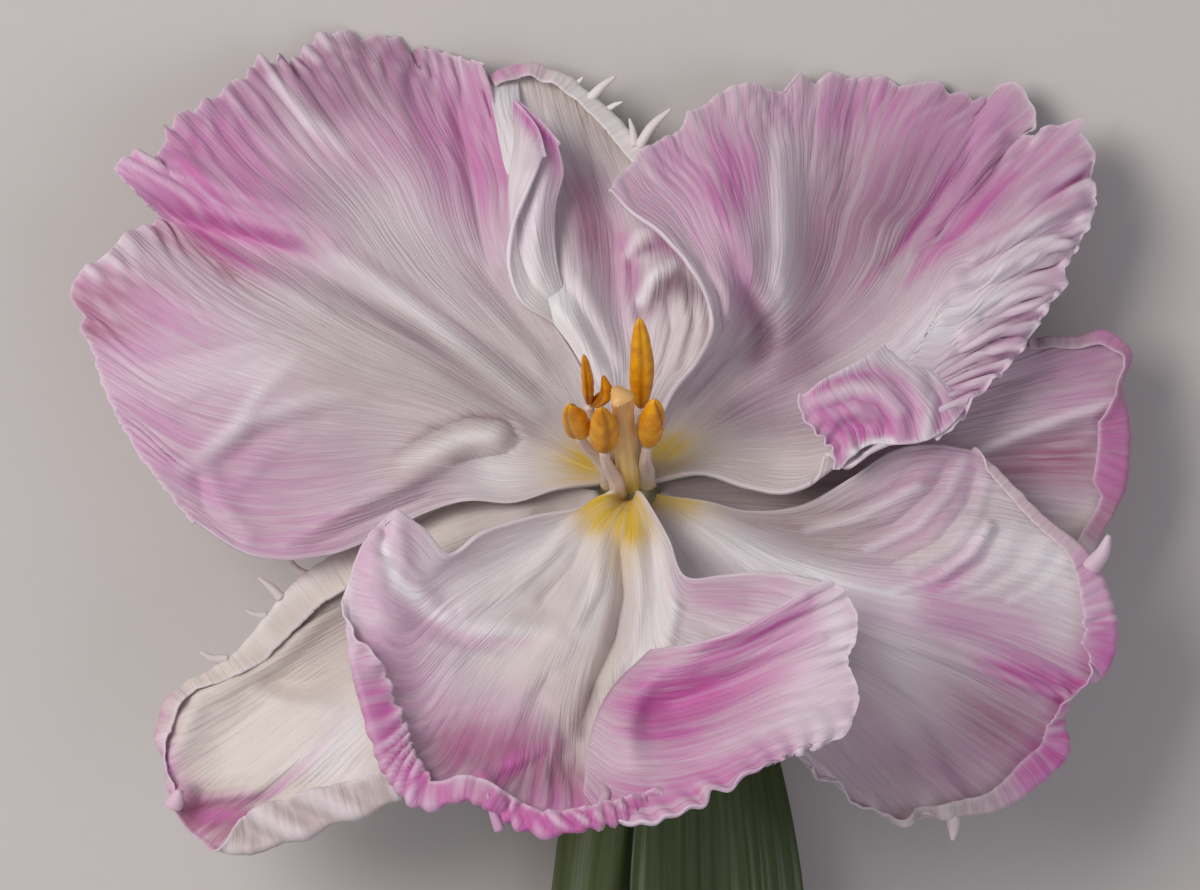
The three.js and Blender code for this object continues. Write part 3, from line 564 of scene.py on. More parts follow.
# One petal from one or more sheets and their spurs. The wall is thick at the claw and thin at the rim.
def addPetal(name, nets, node, material):
    parts = []
    painted = []
    for net in nets:
        points, toRim, place, share, crest = finishedSheet(net)
        thin, usual = petalFinish["rimThickness"], petalFinish["thickness"]
        body = usual + (petalFinish["clawThickness"] - usual) * np.exp(-share * petalFinish["clawFade"])
        thickness = thin + (body - thin) * (1 - np.exp(-toRim / petalFinish["rimFade"]))
        wall = wallWithMap(points, thickness, place, share)
        if net.get("veinsAcross"):
            wall = (*wall[:3], wall[3][:, ::-1])
        parts.append(wall)
        painted += faceMarksWithPaintedLight(net, points, toRim, share, crest)
        for radius, *line in net.get("spurs", []):
            spur = spurBody(radius, line, points)
            parts.append(spur)
            spurMarks = strokeColours(net.get("back", net["paint"]), spur[0])
            spurMarks["rim"] = np.full(len(spur[0]), petalFinish["spurLight"])
            painted.append(spurMarks)
    marks = {mark: np.concatenate([one[mark].ravel() for one in painted]) for mark in painted[0]}
    addPiece(name, joined(parts), marks, material, node)
    print(name, "has", sum(len(part[1]) for part in parts) * 2, "triangles")


# The petals, seen from above. Each is one table, or one for each of its sheets, in these terms:
# left, foot, right and rim hold the points of the sheet's edges, and outline those of its finer rim.
# ridges and folds are strokes that lift it: width, then x, y, height, x, y, height and so on.
# roll, teeth and frills say what its free edge does, by place along the rim from 0 to 1.
# paint and back are the colour strokes of its upper and lower faces: width, then x, y, strength and so on.
# The mauve strokes are partly pigment and partly painted shade, the white ones partly white tissue and
# partly painted highlight.
# spurs grow out of the rim or the back: radius, then x, y and so on.
upperLeft = {
    "left": [inner(178), [-8, -0.6, 1.8], [-13.5, -2.2, 3], [-19, -2, 3.4], [-24, -3.5, 3.2],
        [-29, -6, 3.4], [-35, -8.3, 3.8], [-44, -8.4, 4.6], [-50.6, -4.6, 4]],
    "foot": [inner(150)],
    "right": [inner(122), [-3.4, 8.5, -3.6], [-5.6, 14, -4.8], [-9.4, 20, -5], [-12.2, 25, -5],
        [-13.1, 30, -5.4], [-12.9, 35, -7], [-14.8, 42, -11], [-17, 49.6, -17]],
    "rim": [[-56.6, 3, 2], [-61, 11, -1], [-63.4, 17.5, -3.5], [-64.6, 22, -5], [-61, 26.6, -6],
        [-55.6, 31.3, -9], [-59.4, 37.6, -10], [-53.5, 43.2, -12.5], [-46, 48.6, -16], [-37, 52.8, -20.3],
        [-27, 52.6, -22.1], [-20, 50.4, -19.6]],
    "ridges": [(2.6, -6, 7, -0.3, -14, 14, -1.4, -25, 20.5, -1.7, -38, 26, -2, -50, 30, -2.6,
            -57, 32.5, -2.2), (3.6, -12, 16, 0.8, -20, 20, 1.4, -33, 27, 1.7, -45, 34, 1.8, -56, 38, 1.4),
        (4, -14, 9, 0.6, -30, 15, 1.6, -48, 21, 1.8, -62, 24, 1),
        (3, -13.5, 5.5, 0.8, -18, 5.6, 1.2, -24, 2.6, 1.2, -32, -2.4, 1, -38, -6, 0.5),
        (2.6, -8, 1.4, 0.5, -13, 0.4, 1, -18, 0, 0.8), (4, -30, 7, -0.5, -42, 4, -1.1, -50, 0, -1),
        (3.6, -36, 12, 0.5, -46, 8, 0.9, -53, 3, 0.7), (5, -20, 28, 0.8, -26, 38, 1.6, -31, 48, 1),
        (3.4, -17, 30, -0.8, -19, 40, -1.6, -22, 48, -1)],
    "grid": (360, 88),
    "stripRows": 6,
    "seed": 11,
    "frills": [
        {"wave": 3.4, "height": [[0, 0.08], [0.25, 0.12], [0.45, 0.3], [0.9, 0.25], [1, 0.1]], "depth": 5},
        {"wave": 2.3, "height": [[0, 0.08], [0.3, 0.12], [0.45, 0.25], [0.95, 0.3], [1, 0.1]], "depth": 14},
    ],
    "outline": [[-56.6, 3], [-61.2, 11], [-62.9, 16.4], [-64.4, 18.4], [-63.9, 20], [-65.2, 21.4],
        [-65.3, 23.4], [-64.2, 25], [-61, 27], [-58.6, 29.8], [-55.2, 31.2], [-57.3, 34], [-59.1, 35.8],
        [-60.3, 37.4], [-58.6, 39], [-57.2, 39.8], [-56, 38.5], [-55, 39.6], [-54.5, 40.6], [-54.8, 42.5],
        [-54, 41.8], [-53.5, 43.4], [-52, 44.6], [-51.3, 43.8], [-50.3, 45.4], [-48, 46.1], [-47.2, 47.8],
        [-45.4, 47.7], [-44.9, 49.3], [-43.7, 50.8], [-41.6, 49.9], [-41.3, 51], [-40.5, 49.5],
        [-38.6, 51.5], [-36.4, 53.4], [-33.3, 53.8], [-31.8, 52.9], [-30.4, 53.4], [-28.6, 52.8],
        [-27.4, 53.2], [-25.9, 50.9], [-25.4, 52], [-22.8, 51.5], [-20.7, 50.8], [-19.2, 50.2]],
    "folds": [(1.2, -40, 29.4, 0.2, -33, 25.6, 0.45, -25, 20.4, 0.6, -17, 13.9, 0.6, -10.8, 8.6, 0.4),
        (0.6, -42, 24.6, -0.2, -34, 20.6, -0.3, -26.4, 16.4, -0.35, -18, 11.2, -0.35, -11.2, 7, -0.2),
        (0.5, -34, 27.8, -0.2, -27, 23.6, -0.3, -19.8, 19, -0.35, -11, 13, -0.25),
        (0.8, -20, 24, 0.2, -14.6, 18.6, 0.3, -10.4, 14, 0.3),
        (0.8, -20, 28, -0.2, -14, 21, -0.3, -10, 16, -0.25),
        (1.0, -58, 33.6, -0.5, -52, 31.2, -0.8, -46, 29.4, -0.8, -40, 28, -0.6, -34, 26.4, -0.2),
        (0.9, -57, 36.4, 0.4, -52, 33, 0.7, -46, 31, 0.6, -39, 29.4, 0.4),
        (0.8, -54, 36.6, -0.4, -49, 33.4, -0.5, -43, 31.8, -0.4, -37, 30.6, -0.2),
        (0.9, -54, 38.6, 0.3, -49, 35.4, 0.6, -44, 33.4, 0.4, -39, 32.4, 0.2),
        (0.9, -53, 29, 0.3, -48, 27.4, 0.6, -42, 24.4, 0.5, -36, 21, 0.3),
        (0.9, -55, 31.6, -0.4, -49, 29, -0.6, -44, 26.4, -0.5, -38, 23.2, -0.4),
        (1.1, -41, 50, 0.4, -39, 45, 0.7, -36, 41.4, 0.5, -32, 38, 0.2),
        (1.1, -38, 50, -0.3, -36.4, 45, -0.6, -33, 41, -0.4),
        (1.0, -17.4, 49, 0.6, -18, 42, 0.7, -17, 36, 0.6, -15.6, 30, 0.5, -15, 26, 0.2),
        (0.9, -19.4, 50, -0.5, -20, 43, -0.6, -18.6, 36, -0.6, -17.4, 30, -0.5, -16.6, 26, -0.3),
        (1.0, -21.4, 50, 0.4, -22, 44, 0.6, -20.4, 37, 0.5, -19, 30, 0.3),
        (0.9, -16, 47, -0.5, -16.2, 41, -0.5, -15, 35, -0.5, -14.2, 29, -0.3),
        (1.1, -28, 52, 0.4, -27.6, 46, 0.5, -26, 41, 0.3),
        (1.1, -26, 50.6, -0.5, -25.6, 45, -0.4, -24, 40, -0.2),
        (1.1, -52.4, 1.4, 0.2, -46.4, 6.2, 0.5, -43.2, 11, 0.5, -39.4, 15, 0.1),
        (1.0, -49, 4, 0.1, -44.4, 7.6, 0.4, -37.6, 9.8, 0.4, -32, 10.6, 0.1),
        (1.0, -49, 1, -0.2, -43, 6, -0.4, -36, 7.6, -0.3),
        (1.3, -52, 8, -0.3, -48, 11, -0.4, -43, 15, -0.2), (0.7, -55, 9, 0.2, -48, 11.6, 0.3, -42, 14, 0.2),
        (0.7, -58, 14, -0.2, -50, 15.6, -0.3, -42, 17, -0.2),
        (1.1, -46.6, -1, 0.4, -43.4, 2.4, 0.6, -39, 5.4, 0.3),
        (1.0, -50.4, 1, -0.4, -49.6, -3, -0.5, -46, -6.4, -0.4),
        (1.2, -49.4, 2, 0.4, -48, -2, 0.6, -44.6, -6, 0.4),
        (1.5, -36, -4.4, 0.3, -30, -1, 0.7, -25, 2, 1.2, -21, 4.4, 1.5, -18.4, 5.4, 1.6, -15.8, 5.4, 1.6),
        (0.45, -27, 3.6, -0.3, -22, 6.7, -0.6, -18, 7.8, -0.7, -14.2, 7.3, -0.7, -13.2, 5.4, -0.7,
            -14.6, 3.6, -0.6, -20, 2.6, -0.4),
        (0.7, -40, -7, 0.2, -33, -3, 0.4, -26.4, -0.2, 0.5, -20.4, 3, 0.3),
        (0.6, -37, -7.2, -0.2, -30, -4, -0.3, -24, -1.6, -0.3)],
    "paint": {
        "pink": [(7, -60, 36, 0.55, -52, 42, 0.6, -43, 47, 0.5, -34, 50, 0.45, -25, 48, 0.6, -19, 45, 0.7),
            (5, -50, 36, 0.4, -42, 38, 0.4, -33, 40, 0.4, -25, 40, 0.6, -20, 34, 0.5),
            (3.5, -19, 49, 0.6, -18, 42, 0.7, -16, 35, 0.6, -14.5, 30, 0.4, -16, 25, 0.2),
            (4, -57, 36, 0.7, -50, 33, 0.8, -42, 31, 0.7, -36, 29, 0.4),
            (5, -64, 22, 0.8, -58, 21, 0.6, -50, 19, 0.35),
            (6, -62, 14, 0.6, -57, 6, 0.55, -51, -1, 0.5, -44, -6, 0.45, -37, -7, 0.4),
            (9, -56, 14, 0.5, -48, 6, 0.5, -40, -2, 0.45, -30, -4, 0.25)],
        "magenta": [(1.5, -56, 34, 0.6, -50, 31, 0.8, -44, 29.6, 0.8, -37, 28, 0.5),
            (1.2, -52, 30.4, 0.3, -48, 27.6, 0.6, -44, 25.4, 0.5, -40, 23.6, 0.2),
            (2.4, -52, 37, 0.5, -47, 34.6, 0.5, -42, 33, 0.3), (1.6, -48, 42, 0.4, -44, 37, 0.4),
            (3.5, -27, 42, 0.35, -21, 42, 0.35, -18, 38, 0.3), (1.6, -52, 40, 0.5, -50, 38, 0.3),
            (1.2, -16.6, 46, 0.4, -15.4, 41, 0.4, -14.4, 36, 0.4)],
        "rose": [(2.6, -64.5, 21.6, 0.6, -61, 22, 0.6, -57, 22.4, 0.2),
            (1.6, -63.5, 18, 0.6, -60, 18.4, 0.5, -56.6, 19, 0.2),
            (1.8, -55, 29.6, 0.4, -51, 28, 0.7, -47.4, 25.4, 0.6, -44, 23.4, 0.2)],
        "mauveAndShade": [(4, -40, 34, 0.35, -32, 36, 0.3),
            (5, -54, 40, 0.8, -50, 42, 0.8, -43, 47, 0.9, -36, 49, 1, -28, 50, 0.9, -22, 48, 0.5),
            (4, -42, 46, 0.6, -35, 46, 1, -28, 47, 0.6),
            (1.2, -42, 27, 0.3, -33, 22, 0.5, -25, 17, 0.5, -17, 11, 0.4, -11, 6.6, 0.3),
            (0.7, -34, 28.6, 0.3, -26, 23.6, 0.4, -18, 17, 0.4, -11, 11, 0.3),
            (0.6, -27, 3.8, 0.2, -22, 6.9, 0.4, -18, 8, 0.5, -14.2, 7.4, 0.6, -13.2, 5.4, 0.6,
                -14.6, 3.6, 0.5, -20, 2.6, 0.3), (10, -38, 14, 0.25, -24, 10, 0.25),
            (3, -18, 1.6, 0.3, -24, -0.6, 0.3), (5, -44, 2, 0.25, -34, 2, 0.25)],
        # The cream strokes are the petal's cream, and along the S-fold's crest also a painted highlight
        "cream": [(6, -36, 13, 0.4, -28, 14, 0.4, -22, 10, 0.4),
            (1.7, -27, 1.4, 0.6, -21, 4.4, 1, -16, 5.5, 1)],
        "whiteAndHighlight": [(3, -16, 1.5, 0.8, -11, 1.6, 0.7, -8, 1, 0.5),
            (1, -52.4, 1.4, 0.2, -46.4, 6.2, 0.4, -43.2, 11, 0.4, -39.4, 15, 0.2),
            (1, -49, 4, 0.2, -44.4, 7.6, 0.4, -37.6, 9.8, 0.3, -32, 10.6, 0.1),
            (0.8, -38, 28.2, 0.2, -31, 24.4, 0.4, -25, 20.4, 0.5, -17, 13.9, 0.5, -11, 8.8, 0.4),
            (0.9, -26, 2.4, 0.4, -20, 5.2, 0.7, -15.6, 6, 0.7),
            (1.2, -42, 48, 0.4, -38, 43, 0.5, -34, 40, 0.3),
            (3, -62, 12, 0.2, -52, 12.6, 0.35, -44, 14, 0.3)],
        "yellow": [(2.2, -5, 2.6, 1, -3.5, 3.4, 0.9), (4, -7, 2, 0.4, -4, 3, 0.5)],
    },
}
topCentre = {
    "left": [inner(114), [-3, 7.6, -1.8], [-4.6, 12, -2.6], [-6.8, 16.4, -3.2], [-9.2, 19.8, -3.4],
        [-10.2, 25, -5], [-10.8, 31, -8], [-12.4, 36, -11.6], [-15.6, 43, -14.8], [-16.4, 47.4, -18]],
    "foot": [inner(90)],
    "right": [inner(66), [2.8, 6.6, -3.5], [5.8, 10.6, -3.9], [9.4, 15, -4], [11, 20, -4.6],
        [9.6, 26, -6.8], [6, 32, -10], [2.4, 38, -13.6]],
    "rim": [[-12.5, 48.8, -19], [-8, 47.4, -18.8], [-4.8, 45, -18], [-1.4, 42, -16.4]],
    "ridges": [(3, -3, 12, 0.6, -6, 20, 1.4, -5.5, 30, 0.5), (3, 0, 14, -1, -1, 24, -2.4, -3, 34, -2),
        (2.4, 2, 21, 0.5, 4.5, 25, 1, 6.5, 27, 0.5), (2.4, 1, 26, 0.4, 2.5, 29.5, 0.8, 3, 33, 0.3)],
    "roll": [[0, 4, 165], [0.35, 4.4, 172], [0.7, 4.4, 172], [1, 3.6, 170]],
    "grid": (120, 110),
    "seed": 23,
    "bend": 0.55,
    "edgeHighlight": 0.3,
    "teeth": [[0, 0.15], [1, 0.1]],
    "frills": [{"wave": 3.6, "height": [[0, 0.15], [0.3, 0.2], [1, 0.06]], "depth": 3}],
    "folds": [(0.9, -9.2, 22, 0.5, -6.6, 18.6, 0.8, -4, 14.6, 0.8, -2.2, 11.6, 0.4),
        (0.8, -7.6, 24, -0.4, -4.6, 19, -0.6, -2.4, 14.6, -0.5),
        (0.9, -5.6, 24, 0.4, -2.8, 18.6, 0.5, -1, 14, 0.4),
        (0.6, -0.6, 27, 0.4, -0.4, 22.6, 0.5, 0.8, 18, 0.3),
        (0.5, 0.4, 26.4, -0.4, 1, 22, -0.5, 1.6, 18, -0.3), (0.6, 6, 24, 0.3, 7, 19, 0.5, 5.6, 14, 0.3),
        (0.5, 4.6, 22, -0.3, 5.2, 18, -0.4, 4, 13, -0.2), (0.6, 8.4, 22, 0.3, 8.8, 18, 0.4, 7.4, 13.6, 0.2),
        (0.7, -9, 44, 0.3, -7.6, 38, 0.4, -6, 32, 0.3), (0.7, -5, 43, -0.3, -4, 37, -0.4, -3, 32, -0.3),
        (1.0, 1.2, 21, 0.3, 2, 23.4, 0.6, 3.6, 25.6, 0.6, 6, 27, 0.3),
        (1.4, 3.4, 21.4, -0.4, 4.6, 23.2, -0.7, 6.6, 24.4, -0.5),
        (1.0, -0.4, 26.6, 0.3, 1, 29.4, 0.6, 3.4, 30.4, 0.4),
        (0.9, 1.4, 26, -0.3, 2.8, 28, -0.5, 4.8, 28.8, -0.3)],
    "paint": {
        "whiteAndHighlight": [(2.6, -8.6, 22, 1, -6, 18, 1, -3, 13, 0.9),
            (3, -15.4, 46, 0.9, -14, 41, 0.9, -12.6, 36, 0.8),
            (0.7, 1.6, 21.6, 0.8, 3, 24.4, 0.8, 5.4, 26, 0.8),
            (0.6, 0, 27, 0.5, 1.4, 29.6, 0.5, 3.4, 30, 0.3)],
        "cream": [(3, -16, 48, 0.6, -9, 47, 0.6, -3, 43, 0.6, 0, 39, 0.6)],
        "rose": [(2.8, -5, 32.6, 0.3, -4, 29, 0.5, -2.8, 26, 0.2)],
        "pink": [(3, -5.4, 35, 0.5, -3.4, 31, 0.6, -2.4, 27, 0.5, -0.8, 23, 0.4, 0.4, 19, 0.2),
            (1.2, 4, 28, 0.4, 6, 26.6, 0.5), (1, -0.6, 29, 0.8, 0.4, 25.6, 0.8, 0.8, 22.6, 0.4),
            (1, 2.6, 31, 0.7, 4.4, 28.6, 0.5)],
        "mauveAndShade": [(1.6, 3.6, 22.6, 0.8, 5.4, 23.8, 0.8, 7.6, 22.4, 0.5),
            (0.8, 1.2, 27.4, 0.6, 3, 28, 0.8, 5, 28.6, 0.6), (2, 5, 28.6, 0.2, 8.6, 23, 0.15),
            (1.2, 0.6, 25, 0.5, 1.4, 20, 0.5, 3.6, 21.6, 0.5), (3, -7, 40, 0.1, -4, 36, 0.2)],
    },
    "back": {
        "cream": [(30, -10, 40, 0.8, 0, 30, 0.8)],
        "whiteAndHighlight": [(3, -8, 48, 0.5, -2, 44, 0.6, 1, 40, 0.6)],
        "pink": [(2.2, -17, 49, 1, -13, 49.6, 0.8, -9, 49, 0.3)],
    },
    "spurs": [(0.35, -6.2, 47.6, -5.6, 48.2, -5.3, 48.5), (0.6, -4.4, 46, -3, 47.4, -1.4, 48.6),
        (0.4, -2.4, 44.6, -1.4, 45.2, -0.6, 45.5), (0.5, 0.8, 40.2, 0.6, 42, 0.2, 43.4),
        (0.7, 1.4, 40, 3, 42.6, 5.2, 44.6)],
}
topCentrePocket = {
    "left": [[-12.8, 34.6, -5.4], [-14.2, 36.6, -6.2], [-15, 39.4, -7.8], [-15.7, 43, -11.6],
        [-16.8, 48, -17.4]],
    "foot": [[-12.4, 34.7, -5.3]],
    "right": [[-12, 35.2, -5.4], [-10.9, 38.4, -7], [-10.8, 40.6, -8.6], [-12.6, 43.6, -12.8],
        [-13, 47.6, -17.6]],
    "rim": [[-15, 48.2, -17.6]],
    "ridges": [(1.2, -13, 37, 0.4, -12.6, 40, 0.8, -14, 44.6, 0.5)],
    "roll": [[0, 0.3, 0], [1, 0.3, 0]],
    "grid": (30, 50),
    "stripRows": 3,
    "seed": 37,
    "teeth": [[0, 0.1], [1, 0.1]],
    "paint": {
        "whiteAndHighlight": [(5, -13, 36, 0.7, -14, 46, 0.8)],
        "cream": [(1.2, -14.4, 37, 0.4, -12.6, 34.8, 0.7, -11.6, 36.6, 0.4)],
    },
}
topCentreStrap = {
    "left": [[-7.8, 18.2, -3.2], [-9.6, 19.4, -2.6], [-12.4, 21.2, -1.8], [-14, 25, -1.6],
        [-13.6, 30, -2.2], [-11.8, 34.6, -3.4], [-10, 38.6, -5]],
    "foot": [[-7, 18.8, -3.6]],
    "right": [[-6.4, 19.4, -4], [-7.6, 22.4, -4.4], [-8.6, 27, -5], [-8.6, 33, -6], [-7.6, 37, -6.6],
        [-8.2, 40, -7.2]],
    "rim": [[-11, 42, -6.8], [-13.5, 45.2, -8.4], [-10.4, 42.6, -7.8]],
    "ridges": [(1.8, -9, 21, 0.6, -11, 28, 1.8, -10, 36, 1.4)],
    "grid": (50, 90),
    "seed": 31,
    "teeth": [[0, 0], [1, 0]],
    "folds": [(0.7, -10.6, 24, 0.2, -11, 30, 0.3, -10, 36, 0.3, -11.4, 41, 0.3)],
    "paint": {
        "cream": [(3, -12, 22, 0.5, -12.4, 28, 0.3)],
        "whiteAndHighlight": [(3, -13, 22, 0.8, -12.6, 30, 0.8, -11.6, 35, 0.8), (2, -9.4, 23, 0.7, -10, 28, 0.4)],
        "pink": [(2.2, -12.6, 26, 0.5, -12.4, 31, 0.7, -10.6, 36, 0.7),
            (1.3, -9.6, 29, 0.2, -9, 33, 0.6, -8.4, 37, 0.9, -9, 40, 1, -12.6, 44.4, 1)],
        "magenta": [(0.7, -8.2, 35, 0.4, -8, 39, 0.8, -10.6, 42.2, 0.9, -13, 45, 0.9)],
    },
}
